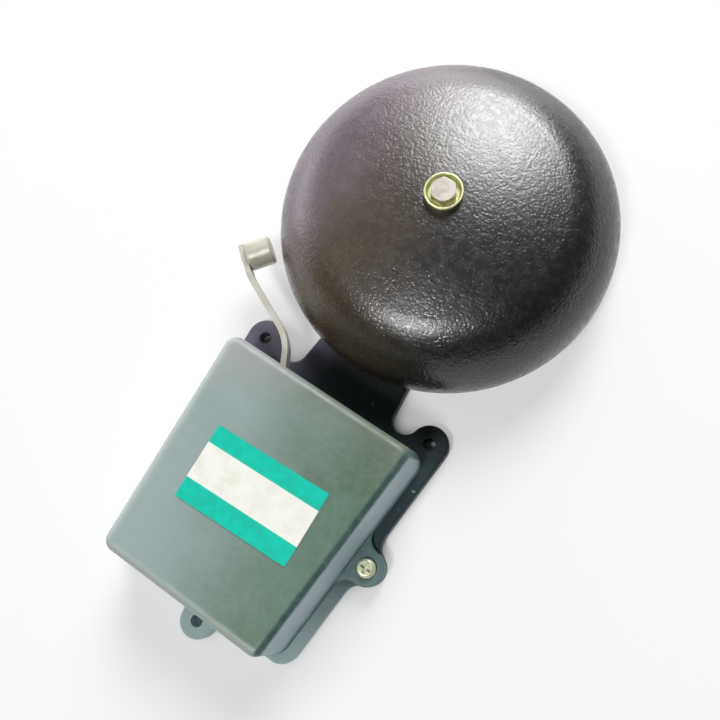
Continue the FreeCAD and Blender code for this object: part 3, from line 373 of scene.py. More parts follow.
@dataclass(frozen=True)
class Finish:
    """One finish: its name and the values that are the same all over it."""

    name: str
    color: Rgb
    second: Rgb
    roughness: float = 0.5
    metallic: float = 0.0
    specular: float = 0.5
    ior: float = 1.5
    coat: float = 0.0
    coat_roughness: float = 0.1
    coat_ior: float = 1.5
    gloss_span: tuple[float, float] = (0.3, 0.7)
    smoother: float = 0.06
    rougher: float = 0.06
    seed: float = 0.0

    def material(self) -> bpy.types.Material:
        """Return the finish's material, building it at its first use.

        Returns:
            The material.
        """
        title = f"{self.name}_finish"
        ready = bpy.data.materials.get(title)
        if ready is not None:
            return ready
        material = bpy.data.materials.new(title)
        material.use_nodes = True
        material.diffuse_color = (*self.color, 1.0)
        material.node_tree.nodes.clear()
        shader = Shader(material.node_tree)
        surface = shader.add("ShaderNodeBsdfPrincipled", {
            "Base Color": self.color, "Roughness": self.roughness, "Metallic": self.metallic,
            "Specular IOR Level": self.specular, "IOR": self.ior,
            "Coat Weight": self.coat, "Coat Roughness": self.coat_roughness, "Coat IOR": self.coat_ior})
        for name, socket in self.pattern(shader).items():
            shader.feed(surface.inputs[name], socket)
        output = shader.add("ShaderNodeOutputMaterial")
        shader.feed(output.inputs["Surface"], surface.outputs[0])
        return material

    def pattern(self, shader: Shader) -> Sockets:
        """Lay out what varies over the surface; each finish has its own.

        Args:
            shader: The material's node tree.

        Returns:
            The sockets that vary, by the name of the surface's input.
        """
        raise NotImplementedError

    def tones(self, shader: Shader, size: float, low: float = 0.35, high: float = 0.65) -> Sockets:
        """Place clouds of the finish's two colours.

        Args:
            shader: The material's node tree.
            size: Size of the clouds, in metres.
            low: Noise level below which the first colour is pure.
            high: Noise level above which the second colour is pure.

        Returns:
            The clouds' colour and mask.
        """
        return shader.effect(Effect.CLOUDS, first=self.color, second=self.second, size=size, low=low, high=high,
                             seed=self.seed)

    def gloss(self, shader: Shader, value: Any) -> Socket:
        """Return the roughness, which follows a value over the finish's gloss_span."""
        return shader.ramp(value, *self.gloss_span, self.roughness - self.smoother, self.roughness + self.rougher)

    def fade(self, shader: Shader, along: tuple[float, float, float], span_mm: tuple[float, float],
             broken_mm: float = 0.0, size_mm: float = 10.0, shift: float = 0.0) -> Socket:
        """Fade from one side of a piece to the other.

        Args:
            shader: The material's node tree.
            along: Way of the fade.
            span_mm: Where it starts and ends along that way.
            broken_mm: How far its border wanders.
            size_mm: Size of the border's waves.
            shift: What is added to the finish's seed.

        Returns:
            The socket with the mask.
        """
        return shader.effect(Effect.FADE, along_x=along[0], along_y=along[1], along_z=along[2],
                             start=span_mm[0] * MM, end=span_mm[1] * MM, broken=broken_mm * MM, size=size_mm * MM,
                             seed=self.seed + shift)["Mask"]

    def edge_wear_and_light(self, shader: Shader, reach_mm: float, size_mm: float, amount: float,
                  shift: float = 0.0) -> Socket:
        """Mask the piece's sharp edges with broken patches, for rubbed wear and for painted highlights.

        Args:
            shader: The material's node tree.
            reach_mm: How far the mask comes in from an edge.
            size_mm: Size of its patches.
            amount: Strength of the mask: the share of coat rubbed away, and at the cover's foot the share of painted
                highlight.
            shift: What is added to the finish's seed.

        Returns:
            The socket with the mask.
        """
        return shader.effect(Effect.RUBBED, reach=reach_mm * MM, size=size_mm * MM, amount=amount,
                             seed=self.seed + shift)["Mask"]

    def speckle(self, shader: Shader, shift: float = 0.0, **values: float) -> Sockets:
        """Return fine noise of the finish's seed, with a mask and a height."""
        return shader.effect(Effect.GRAIN, seed=self.seed + shift, **values)


@dataclass(frozen=True)
class GongEnamel(Finish):
    """Thick black enamel, sprayed so heavily that it dried in a fine pebbled skin; lighter and browner towards +X,
    partly from its own brown tint and partly as painted sheen, with a painted plum reflection along that rim.
    """

    gloss_span: tuple[float, float] = (0.35, 0.65)
    rougher: float = 0.08
    pebble: float = 1.25 * MM
    pebble_height: float = 0.30 * MM
    coarse: float = 3.2 * MM
    coarse_share: float = 0.5
    smooth_rim: float = 0.35
    thin_coat: float = 0.1
    # partly the enamel's brown tint, partly painted sheen: lighter towards +X
    brown_and_sheen: Rgb = (0.066, 0.043, 0.018)
    # painted reflection: plum-grey sheen along the rim on the +X side
    plum_painted_light: Rgb = (0.148, 0.112, 0.142)
    dust: Rgb = (0.20, 0.18, 0.15)
    dust_share: float = 0.35

    def pattern(self, shader: Shader) -> Sockets:
        """Lay out the enamel's colour, gloss and pebbled normal.

        Args:
            shader: The material's node tree.

        Returns:
            The sockets that vary, by the name of the surface's input.
        """
        # Painted sheen, partly the enamel's own brown tint: the enamel is painted lighter and browner towards +X, and
        # dust is laid on that side.
        brown_sheen_mask = self.fade(shader, (1.0, 0.25, 0.0), (-46, 36), broken_mm=60, size_mm=20)
        rim_light_mask = self.fade(shader, (1.0, -0.2, 0.0), (34, 78), broken_mm=40, size_mm=26, shift=3.1)
        dust = self.speckle(shader, size=1.0 * MM, detail=1.0, low=0.62, high=0.72, shift=5.3)
        color = shader.mix(brown_sheen_mask, self.tones(shader, 24 * MM)["Color"], self.brown_and_sheen)
        # Painted reflection: a plum-grey sheen painted along the rim on the +X side.
        color = shader.mix(rim_light_mask, color, self.plum_painted_light)
        color = shader.mix(shader.times(dust["Mask"], shader.times(brown_sheen_mask, self.dust_share)), color, self.dust)

        pebbles = self.speckle(shader, size=self.pebble, detail=1.5)["Height"]
        coarse = self.speckle(shader, size=self.coarse, detail=2.0, shift=1.7)["Height"]
        crown = self.fade(shader, (0.0, 0.0, 1.0), (14, 30), size_mm=20)
        height = shader.times(shader.math("ADD", pebbles, shader.times(coarse, self.coarse_share)),
                              shader.ramp(crown, 0.0, 1.0, self.smooth_rim, 1.0))
        glaze = self.fade(shader, (0.0, 0.0, 1.0), (38, 52), broken_mm=6, size_mm=15, shift=8.0)
        return {"Base Color": color, "Roughness": self.gloss(shader, coarse),
                "Coat Weight": shader.ramp(glaze, 0.0, 1.0, self.thin_coat, self.coat),
                "Normal": shader.bump(height, self.pebble_height)}


@dataclass(frozen=True)
class CastPaint(Finish):
    """Dark paint on a raw sand casting: painted shade makes it near-black towards the gong, and painted sheen makes
    it lighter and greyer towards the far end.
    """

    smoother: float = 0.1
    rougher: float = 0.1
    # painted sheen: pale grey-teal that lightens the far end, also against the cover's shadow there
    far: Rgb = (0.460, 0.600, 0.600)
    # plum tint of the ear by the hammer, painted lighter against the gong's shadow: partly painted light
    plum_painted_light: Rgb = (0.170, 0.160, 0.215)
    grit: float = 1.3 * MM
    grit_height: float = 0.16 * MM
    grit_share: float = 0.7
    speck: Rgb = (0.26, 0.32, 0.32)
    speck_share: float = 0.8

    def pattern(self, shader: Shader) -> Sockets:
        """Lay out the casting's colour, roughness and gritty normal.

        Args:
            shader: The material's node tree.

        Returns:
            The sockets that vary, by the name of the surface's input.
        """
        # Painted shade: the first colour, near-black, lies towards the gong where its shade falls; the second,
        # lighter one lies beyond.
        near = self.fade(shader, (0.0, 1.0, 0.0), (-25, 25), broken_mm=14, size_mm=9)
        far_sheen_mask = self.fade(shader, (0.0, 1.0, 0.0), (45, 122), broken_mm=30, size_mm=14, shift=1.3)
        # The ear by the hammer gets its plum tint, painted lighter than its own tone to offset the gong's shadow on
        # it.
        hammer_side = self.fade(shader, (1.0, -0.3, 0.0), (8, 34), broken_mm=7, size_mm=12, shift=2.6)
        past_neck = self.fade(shader, (0.0, 1.0, 0.0), (-50, -20), broken_mm=10, size_mm=9, shift=5.2)
        specks = self.speckle(shader, size=2.2 * MM, detail=0.0, low=0.80, high=0.84, shift=2.2)
        edges = self.edge_wear_and_light(shader, reach_mm=0.9, size_mm=5, amount=0.3)
        color = shader.mix(near, self.color, self.second)
        color = shader.mix(shader.times(hammer_side, past_neck), color, self.plum_painted_light)
        # Painted sheen: the far end is painted much lighter and greyer.
        color = shader.mix(far_sheen_mask, color, self.far)
        color = shader.mix(shader.times(specks["Mask"], shader.times(near, self.speck_share)), color, self.speck)
        color = shader.mix(shader.times(edges, near), color, self.speck)

        pits = shader.effect(Effect.PITS, size=self.grit, seed=self.seed)["Height"]
        grain = self.speckle(shader, size=0.8 * MM, detail=4.0)["Height"]
        height = shader.math("ADD", shader.times(pits, self.grit_share), grain)
        return {"Base Color": color, "Roughness": self.gloss(shader, grain),
                "Normal": shader.bump(height, self.grit_height)}


@dataclass(frozen=True)
class BoxPaint(Finish):
    """Satin paint on the cover, with painted light and shade: highlights along two edges, a pale sheen on one side,
    bluish light on one wall under a dark line, and a darker, bluish foot of painted shade with some grime.
    """

    gloss_span: tuple[float, float] = (0.0, 1.0)
    smoother: float = 0.05
    rougher: float = 0.07
    wall_mm: float = 46.6
    wall_lean: tuple[float, float] = (0.998, 0.061)
    far_wall_mm: float = 109.85
    edge_mm: float = 3.6
    # painted sheen: pale bluish grey-green over the +X side of the top
    painted_sheen: Rgb = (0.310, 0.395, 0.390)
    warm: Rgb = (0.180, 0.170, 0.135)
    warm_share: float = 0.5
    # painted shade with some grime: darker, bluish foot of the cover
    foot_shade_and_grime: Rgb = (0.080, 0.160, 0.160)
    dust: Rgb = (0.34, 0.37, 0.34)
    dust_share: float = 0.13
    scuff_share: float = 0.05
    # painted highlight: pale grey-teal on the rims at the cover's foot
    painted_foot_highlight: Rgb = (0.20, 0.27, 0.26)
    # painted light: bluish sky light and floor reflection on the -X side wall
    side: Rgb = (0.330, 0.440, 0.480)
    # painted shade: dark line along the rounded -X edge of the top
    shut: Rgb = (0.030, 0.078, 0.078)
    shut_share: float = 0.85
    # painted highlight: pale band along the far and +X edges of the top
    painted_edge_highlight: Rgb = (0.480, 0.540, 0.500)
    painted_edge_highlight_share: float = 0.75
    neutral: Rgb = (1.17, 0.96, 0.95)
    wave_share: float = 6.0
    skin_height: float = 0.06 * MM

    def pattern(self, shader: Shader) -> Sockets:
        """Lay out the paint's clouded colour, its satin gloss and its faint waves.

        Args:
            shader: The material's node tree.

        Returns:
            The sockets that vary, by the name of the surface's input.
        """
        clouds = self.tones(shader, 22 * MM, 0.3, 0.7)
        # Painted shade with some grime: the cover's foot is painted darker and bluer.
        foot = self.fade(shader, (0.0, 0.0, -1.0), (-19, -9), broken_mm=9, size_mm=12, shift=4.4)
        color = self.edges(shader, self.top(shader, clouds["Color"]))
        color = self.soiling_and_rim_light(shader, shader.mix(foot, color, self.foot_shade_and_grime), foot)
        peel = self.speckle(shader, size=1.6 * MM, detail=2.0, shift=4.0)
        wave = self.speckle(shader, size=12 * MM, detail=1.0, shift=6.0)
        height = shader.math("ADD", peel["Height"], shader.times(wave["Height"], self.wave_share))
        return {"Base Color": color, "Roughness": self.gloss(shader, clouds["Mask"]),
                "Normal": shader.bump(height, self.skin_height)}

    def top(self, shader: Shader, color: Socket) -> Socket:
        """Warm the paint towards the gong, paint a pale sheen over one side and take its green away by the hammer.

        Args:
            shader: The paint's node tree.
            color: Colour of the clean paint.

        Returns:
            The socket with the colour.
        """
        warmed = self.fade(shader, (0.0, -1.0, 0.0), (-45, 0), broken_mm=40, size_mm=20, shift=2.1)
        # Painted sheen: the +X side of the top is painted paler and bluer.
        sheen_mask = self.fade(shader, (1.0, 0.12, 0.0), (-30, 48), broken_mm=34, size_mm=26)
        plain = self.fade(shader, (0.5, -1.0, 0.0), (-24, 12), broken_mm=18, size_mm=16, shift=7.7)
        color = shader.mix(shader.times(warmed, self.warm_share), color, self.warm)
        color = shader.mix(sheen_mask, color, self.painted_sheen)
        return shader.mix(plain, color, shader.mix(1.0, color, self.neutral, "MULTIPLY"))

    def edges(self, shader: Shader, color: Socket) -> Socket:
        """Paint light and shade on the edges: bluish light on the side wall, a dark line of painted shade above it
        and painted highlights on two edges.

        Args:
            shader: The paint's node tree.
            color: Colour of the flat top.

        Returns:
            The socket with the colour.
        """
        lean_x, lean_y = self.wall_lean
        # Painted light: the -X side wall is painted pale and bluish.
        wall = self.fade(shader, (-lean_x, lean_y, 0.0), (self.wall_mm - 0.7, self.wall_mm + 0.1), broken_mm=0.5,
                         size_mm=8)
        # Painted shade: a dark line along the rounded -X edge of the top.
        line = self.fade(shader, (-lean_x, lean_y, 0.0),
                         (self.wall_mm - self.edge_mm + 0.2, self.wall_mm - self.edge_mm * 0.55), broken_mm=1.0,
                         size_mm=14)
        # Painted highlight: the far and +X edges of the top are painted pale.
        far = self.fade(shader, (0.0, 1.0, 0.0),
                        (self.far_wall_mm - self.edge_mm - 1.0, self.far_wall_mm - self.edge_mm * 0.5), broken_mm=2.0,
                        size_mm=9, shift=0.7)
        left = self.fade(shader, (lean_x, lean_y, 0.0),
                         (self.wall_mm - self.edge_mm - 1.5, self.wall_mm - self.edge_mm * 0.3), broken_mm=2.0,
                         size_mm=9, shift=1.9)
        pale = shader.math("MAXIMUM", far, left)
        color = shader.mix(shader.times(pale, self.painted_edge_highlight_share), color, self.painted_edge_highlight)
        color = shader.mix(shader.times(line, self.shut_share), color, self.shut)
        return shader.mix(wall, color, self.side)

    def soiling_and_rim_light(self, shader: Shader, color: Socket, foot: Socket) -> Socket:
        """Dust and scuff the paint, rub it at its edges, and paint highlights on the rims at its foot.

        Args:
            shader: The paint's node tree.
            color: Colour of the paint.
            foot: Mask of the cover's foot.

        Returns:
            The socket with the colour.
        """
        fine = self.speckle(shader, size=2.6 * MM, detail=5.0, low=0.35, high=0.8)
        scuffs = shader.effect(Effect.STREAKS, size=2.4 * MM, along_x=0.08, along_y=1.0, along_z=1.0, seed=self.seed)
        edges = self.edge_wear_and_light(shader, reach_mm=1.2, size_mm=7, amount=0.4)
        # Painted highlight: the rims at the cover's foot are painted pale grey-teal.
        rim_light_mask = self.edge_wear_and_light(shader, reach_mm=2.2, size_mm=9, amount=0.8, shift=1.4)
        color = shader.mix(shader.times(fine["Mask"], self.dust_share), color, self.dust)
        color = shader.mix(shader.times(scuffs["Mask"], self.scuff_share), color, self.dust)
        color = shader.mix(edges, color, self.dust)
        return shader.mix(shader.times(rim_light_mask, foot), color, self.painted_foot_highlight)


@dataclass(frozen=True)
class PlatedSteel(Finish):
    """Zinc plating with a passivated tint that shifts from white to yellow."""

    gloss_span: tuple[float, float] = (0.0, 1.0)
    rougher: float = 0.12
    stain: Rgb = (0.42, 0.40, 0.12)
    stain_share: float = 0.55
    stain_patch: float = 1.7
    patch: float = 2.4 * MM
    scratch: float = 0.35 * MM
    scratch_height: float = 0.02 * MM

    def pattern(self, shader: Shader) -> Sockets:
        """Lay out the plating's tints, its uneven gloss and its fine scratches.

        Args:
            shader: The material's node tree.

        Returns:
            The sockets that vary, by the name of the surface's input.
        """
        clouds = self.tones(shader, self.patch)
        stain = shader.effect(Effect.CLOUDS, size=self.stain_patch * self.patch, low=0.5, high=0.75,
                              seed=self.seed + 2.9)
        color = shader.mix(shader.times(stain["Mask"], self.stain_share), clouds["Color"], self.stain)
        lines = shader.effect(Effect.STREAKS, size=self.scratch, along_x=0.2, seed=self.seed)
        return {"Base Color": color, "Roughness": self.gloss(shader, clouds["Mask"]),
                "Normal": shader.bump(lines["Height"], self.scratch_height)}


@dataclass(frozen=True)
class BoltPlating(PlatedSteel):
    """Yellow plating that is paler on top of the bolt's head."""

    pale_top: Rgb = (0.57, 0.54, 0.48)
    top_mm: float = 62.77

    def pattern(self, shader: Shader) -> Sockets:
        """Lay out the plating with the paler top mixed in.

        Args:
            shader: The material's node tree.

        Returns:
            The sockets that vary, by the name of the surface's input.
        """
        sockets = PlatedSteel.pattern(self, shader)
        top_mask = self.fade(shader, (0.0, 0.0, 1.0), (self.top_mm - 0.8, self.top_mm - 0.2), broken_mm=0.5, size_mm=1.5)
        sockets["Base Color"] = shader.mix(top_mask, sockets["Base Color"], self.pale_top)
        return sockets


@dataclass(frozen=True)
class DrawnSteel(Finish):
    """Bare strip steel with lines along its length, dulled by handling."""

    gloss_span: tuple[float, float] = (0.35, 0.7)
    smoother: float = 0.08
    rougher: float = 0.12
    line: float = 0.3 * MM
    line_height: float = 0.03 * MM
    along: tuple[float, float, float] = (0.05, 0.05, 1.0)
    spot_share: float = 0.35

    def pattern(self, shader: Shader) -> Sockets:
        """Lay out the steel's colour, roughness and drawn lines.

        Args:
            shader: The material's node tree.

        Returns:
            The sockets that vary, by the name of the surface's input.
        """
        along_x, along_y, along_z = self.along
        lines = shader.effect(Effect.STREAKS, size=self.line, along_x=along_x, along_y=along_y, along_z=along_z,
                              seed=self.seed)["Height"]
        spots = self.speckle(shader, size=1.6 * MM, detail=3.0, low=0.6, high=0.72, shift=7.0)
        color = shader.mix(shader.times(spots["Mask"], self.spot_share), self.tones(shader, 9 * MM)["Color"],
                           self.second)
        return {"Base Color": color, "Roughness": self.gloss(shader, lines),
                "Normal": shader.bump(lines, self.line_height)}


@dataclass(frozen=True)
class SheetStack(Finish):
    """Edges of punched steel sheets with a thin dark varnish."""

    smoother: float = 0.1
    rougher: float = 0.15
    pitch: float = 0.5 * MM
    seam_share: float = 0.12
    varnish: Rgb = (0.02, 0.02, 0.02)
    grain_height: float = 0.02 * MM

    def pattern(self, shader: Shader) -> Sockets:
        """Lay out the sheets' colour by layer, with light rust bloom.

        Args:
            shader: The material's node tree.

        Returns:
            The sockets that vary, by the name of the surface's input.
        """
        height = shader.add("ShaderNodeSeparateXYZ", {0: shader.place()}).outputs[2]
        seam = shader.ramp(shader.math("FRACT", shader.math("DIVIDE", height, self.pitch)), 0.0, self.seam_share)
        grain = self.speckle(shader, size=0.6 * MM, detail=4.0)["Height"]
        return {"Base Color": shader.mix(seam, self.varnish, self.tones(shader, 6 * MM)["Color"]),
                "Roughness": self.gloss(shader, grain),
                "Normal": shader.bump(grain, self.grain_height)}


@dataclass(frozen=True)
class Moulding(Finish):
    """Moulded plastic, rubber or pressed fibre with a faint skin texture."""

    grain: float = 0.5 * MM
    depth: float = 0.02 * MM

    def pattern(self, shader: Shader) -> Sockets:
        """Lay out the moulding's colour, roughness and skin.

        Args:
            shader: The material's node tree.

        Returns:
            The sockets that vary, by the name of the surface's input.
        """
        skin = self.speckle(shader, size=self.grain, detail=3.0)["Height"]
        return {"Base Color": self.tones(shader, 8 * MM)["Color"],
                "Roughness": self.gloss(shader, skin), "Normal": shader.bump(skin, self.depth)}


@dataclass(frozen=True)
class LabelPrint(Finish):
    """Bare label: a pale field between two coloured bands, with no words on it."""

    soiled: Rgb = (0.76, 0.76, 0.66)
    thin_ink: Rgb = (0.006, 0.52, 0.37)
    centre: tuple[float, float] = (0.0, 0.0)
    tilt: float = 0.0
    width: float = 33.3 * MM
    near_band: float = 0.24
    far_band: float = 0.27
    soft_edge: float = 0.006
    fibre_height: float = 0.01 * MM

    def pattern(self, shader: Shader) -> Sockets:
        """Lay out the label's bands, with the print's soft edge and slight soiling.

        Args:
            shader: The material's node tree.

        Returns:
            The sockets that vary, by the name of the surface's input.
        """
        moved = shader.vector("SUBTRACT", shader.place(), (*self.centre, 0.0))
        turned = shader.add("ShaderNodeMapping", {"Vector": moved.outputs[0], "Rotation": (0.0, 0.0, -self.tilt)})
        across = shader.add("ShaderNodeSeparateXYZ", {0: turned.outputs[0]}).outputs[1]
        share = shader.math("ADD", shader.math("DIVIDE", across, self.width), 0.5)
        near = shader.ramp(share, self.near_band - self.soft_edge, self.near_band + self.soft_edge, 1.0, 0.0)
        far = shader.ramp(share, 1 - self.far_band - self.soft_edge, 1 - self.far_band + self.soft_edge)
        paper = shader.effect(Effect.CLOUDS, first=self.second, second=self.soiled, size=9 * MM,
                              low=0.4, high=0.8, seed=self.seed)
        ink = shader.effect(Effect.CLOUDS, first=self.color, second=self.thin_ink, size=5 * MM, seed=self.seed)
        fibre = self.speckle(shader, size=0.4 * MM, detail=3.0)
        return {"Base Color": shader.mix(shader.math("MAXIMUM", near, far), paper["Color"], ink["Color"]),
                "Normal": shader.bump(fibre["Height"], self.fibre_height)}


GONG_ENAMEL = GongEnamel("gong_enamel", (0.003, 0.003, 0.004), (0.006, 0.006, 0.005), roughness=0.27,
                         ior=1.6, coat=1.0, coat_roughness=0.36, coat_ior=1.6)
CAST_PAINT = CastPaint("cast_paint", (0.005, 0.005, 0.004), (0.030, 0.050, 0.058), roughness=0.50, specular=0.25)
COVER_PAINT = BoxPaint("cover_paint", (0.078, 0.145, 0.090), (0.105, 0.188, 0.142), roughness=0.45)
ZINC = PlatedSteel("zinc_plate", (0.78, 0.76, 0.62), (0.66, 0.63, 0.40), roughness=0.36, metallic=0.75)
CUP_ZINC = PlatedSteel("yellow_zinc", (0.80, 0.80, 0.54), (0.68, 0.70, 0.36), roughness=0.34, metallic=0.6,
                       stain=(0.50, 0.52, 0.16), seed=1.0)
BOLT_ZINC = BoltPlating("bolt_zinc", (0.60, 0.60, 0.22), (0.42, 0.43, 0.10), roughness=0.36, metallic=0.6,
                        stain=(0.24, 0.24, 0.04), seed=2.0)
SCREW_ZINC = PlatedSteel("screw_zinc", (0.90, 0.92, 0.80), (0.74, 0.79, 0.44), roughness=0.32, metallic=0.55,
                         stain=(0.42, 0.46, 0.10), patch=1.6 * MM, seed=3.0)
STRIP_STEEL = DrawnSteel("strip_steel", (0.62, 0.63, 0.57), (0.58, 0.55, 0.45), roughness=0.46, metallic=0.3)
HAMMER_STEEL = DrawnSteel("hammer_steel", (0.72, 0.71, 0.60), (0.62, 0.60, 0.50), roughness=0.38, metallic=0.4,
                          along=(1.0, 1.0, 0.2), seed=2.0)
SPRING_STEEL = DrawnSteel("spring_steel", (0.20, 0.22, 0.27), (0.30, 0.27, 0.24), roughness=0.3, metallic=1.0,
                          along=(0.05, 1.0, 1.0), seed=4.0)
CORE_STEEL = SheetStack("core_steel", (0.23, 0.23, 0.24), (0.14, 0.12, 0.11), roughness=0.5, metallic=0.8)
ARMATURE_STEEL = DrawnSteel("armature_steel", (0.42, 0.42, 0.42), (0.30, 0.28, 0.26), roughness=0.38, metallic=1.0,
                            along=(0.06, 1.0, 1.0), seed=6.0)
COIL_WIRE = DrawnSteel("coil_wire", (0.62, 0.22, 0.09), (0.44, 0.13, 0.05), roughness=0.28, metallic=0.9,
                       along=(0.4, 0.4, 0.4), coat=0.6, seed=8.0)
COIL_TAPE = Moulding("coil_tape", (0.52, 0.40, 0.14), (0.44, 0.31, 0.09), roughness=0.35, seed=9.0)
BOBBIN_PLASTIC = Moulding("bobbin_plastic", (0.05, 0.045, 0.04), (0.035, 0.03, 0.028), roughness=0.35)
TERMINAL_PLASTIC = Moulding("terminal_plastic", (0.66, 0.63, 0.54), (0.58, 0.55, 0.45), roughness=0.4, seed=1.0)
BRASS = PlatedSteel("turned_brass", (0.66, 0.49, 0.20), (0.55, 0.38, 0.14), roughness=0.3, metallic=1.0,
                    stain=(0.30, 0.17, 0.06), seed=3.0)
WIRE_SLEEVE = Moulding("wire_sleeve", (0.38, 0.035, 0.03), (0.30, 0.03, 0.025), roughness=0.45, seed=5.0)
FIBRE = Moulding("packing_fibre", (0.24, 0.07, 0.045), (0.17, 0.05, 0.035), roughness=0.7, grain=0.3 * MM, seed=6.0)
RUBBER = Moulding("grommet_rubber", (0.018, 0.018, 0.018), (0.028, 0.027, 0.026), roughness=0.62, seed=7.0)


@dataclass
class CarriedSolids:
    """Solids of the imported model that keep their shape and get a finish."""

    finishes: dict[Finish, tuple[str, ...]]

    def dress(self) -> None:
        """Put each finish in the material slots of its solids."""
        for finish, names in self.finishes.items():
            for name in names:
                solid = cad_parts[name]
                if not solid.material_slots:
                    solid.data.materials.append(finish.material())
                for holder in solid.material_slots:
                    holder.material = finish.material()
                LOG.info("dressed %s in %s", name, finish.name)


class Bench:
    """Steps of modelling by hand, each on the object that is being made."""

    @staticmethod
    def clear() -> None:
        """Deselect everything, so that an operator acts only on the new piece."""
        if bpy.context.mode != "OBJECT":
            bpy.ops.object.mode_set(mode="OBJECT")
        bpy.ops.object.select_all(action="DESELECT")

    @staticmethod
    def name(piece_name: str) -> Piece:
        """Name the active object and its mesh.

        Args:
            piece_name: Their name.

        Returns:
            The object.
        """
        piece = bpy.context.active_object
        piece.name = piece_name
        piece.data.name = piece_name
        return piece

    @staticmethod
    def block(piece_name: str, middle: Vector, size: Vector) -> Piece:
        """Add a block whose mesh holds its size and place.

        Args:
            piece_name: Name of the piece.
            middle: Where the block's middle lies.
            size: Its size along each axis.

        Returns:
            The block.
        """
        Bench.clear()
        bpy.ops.mesh.primitive_cube_add(size=1.0, location=middle, scale=size)
        piece = Bench.name(piece_name)
        bpy.ops.object.transform_apply(location=True, rotation=True, scale=True)
        return piece

    @staticmethod
    def cut(middle: Vector, places: list[float]) -> None:
        """Cut the piece that is in edit mode into slices along x.

        Args:
            middle: A point in the piece.
            places: The cuts' x.
        """
        for place in places:
            bpy.ops.mesh.select_all(action="SELECT")
            bpy.ops.mesh.bisect(plane_co=(place, middle.y, middle.z), plane_no=(1.0, 0.0, 0.0))

    @staticmethod
    def bevel(piece: Piece, width: float, segments: int = 1, sharp_deg: float = 30.0) -> None:
        """Round the sharp edges of a piece.

        Args:
            piece: Object to round.
            width: Width of the rounding.
            segments: How many flats make it up.
            sharp_deg: Angle from which an edge is sharp.
        """
        rounding = piece.modifiers.new("rounding", "BEVEL")
        rounding.width = width
        rounding.segments = segments
        rounding.limit_method = "ANGLE"
        rounding.angle_limit = math.radians(sharp_deg)

    @staticmethod
    def repeat(piece: Piece, count: int, step: tuple[float, float, float]) -> None:
        """Lay copies of a piece in a row.

        Args:
            piece: Object to copy.
            count: How many there are in all.
            step: Way from one to the next.
        """
        row = piece.modifiers.new("row", "ARRAY")
        row.count = count
        row.use_relative_offset = False
        row.use_constant_offset = True
        row.constant_offset_displace = step

    @staticmethod
    def pick(piece: Piece, wanted: Any) -> None:
        """Select the faces of a piece that a test picks, in edit mode.

        Args:
            piece: Object in edit mode.
            wanted: Function of a face's centre and normal.
        """
        bpy.ops.mesh.select_all(action="DESELECT")
        bpy.ops.object.mode_set(mode="OBJECT")
        for face in piece.data.polygons:
            face.select = bool(wanted(face.center, face.normal))
        bpy.ops.object.mode_set(mode="EDIT")
        bpy.ops.mesh.select_mode(type="FACE")

    @staticmethod
    def finish(piece: Piece, smooth_deg: float) -> None:
        """Apply a piece's modifiers and place, and smooth its shading.

        Args:
            piece: Object to finish.
            smooth_deg: Angle up to which edges are shaded smooth.
        """
        Bench.clear()
        piece.select_set(True)
        bpy.context.view_layer.objects.active = piece
        for name in [modifier.name for modifier in piece.modifiers]:
            bpy.ops.object.modifier_apply(modifier=name)
        bpy.ops.object.transform_apply(location=True, rotation=True, scale=True)
        bpy.ops.object.shade_smooth_by_angle(angle=math.radians(smooth_deg))


@dataclass
class Housing:
    """Cast plate, cover, its screw and label, and the bush at the cable entry."""

    label_tilt_deg: float = 2.4

    def label_finish(self) -> LabelPrint:
        """Centre the label's finish on the label's own box.

        Returns:
            The finish.
        """
        low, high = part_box("label_plate")
        middle = (low + high) / 2
        return LabelPrint("label_print", (0.004, 0.60, 0.44), (0.90, 0.90, 0.83), roughness=0.55, specular=0.2,
                          centre=(middle.x, middle.y), tilt=math.radians(self.label_tilt_deg))

    def build(self) -> None:
        """Dress the housing's solids."""
        CarriedSolids({
            CAST_PAINT: ("base_plate",),
            COVER_PAINT: ("cover",),
            SCREW_ZINC: ("cover_screw",),
            self.label_finish(): ("label_plate",),
            RUBBER: ("cable_grommet",),
        }).dress()


@dataclass
class GongSet:
    """Gong, the pillar that carries it, and the bolt and washers that hold it."""

    def build(self) -> None:
        """Dress the gong and its fixing."""
        CarriedSolids({
            GONG_ENAMEL: ("gong",),
            ZINC: ("gong_post",),
            FIBRE: ("gong_packing_washer",),
            CUP_ZINC: ("gong_cup_washer",),
            BOLT_ZINC: ("gong_bolt",),
        }).dress()


@dataclass
class Striker:
    """Armature, the strip riveted to it, the hammer head and the leaf spring."""

    leaf_steps: int = 24
    leaf_edge_share: float = 0.15

    def build(self) -> None:
        """Dress the striker's solids and model the leaf spring, which in the bell bends between its two ends."""
        CarriedSolids({
            STRIP_STEEL: ("striker_arm",),
            HAMMER_STEEL: ("hammer_head", "hammer_rivet", "arm_rivets"),
            ARMATURE_STEEL: ("armature",),
        }).dress()
        self.leaf()

    def leaf(self) -> Piece:
        """Model the leaf spring, whose one end stays clamped while the other moves.

        Returns:
            The leaf, cut into slices along its length.
        """
        low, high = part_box("leaf_spring")
        middle, size = (low + high) / 2, high - low
        piece = Bench.block("leaf_spring_bent", middle, size)
        bpy.ops.object.mode_set(mode="EDIT")
        Bench.cut(middle, [low.x + size.x * step / self.leaf_steps for step in range(1, self.leaf_steps)])
        bpy.ops.object.mode_set(mode="OBJECT")
        Bench.bevel(piece, size.y * self.leaf_edge_share)
        Bench.finish(piece, smooth_deg=35.0)
        piece.data.materials.append(SPRING_STEEL.material())
        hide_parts("leaf_spring")
        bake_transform(piece)
        LOG.info("modelled %s", piece.name)
        return piece


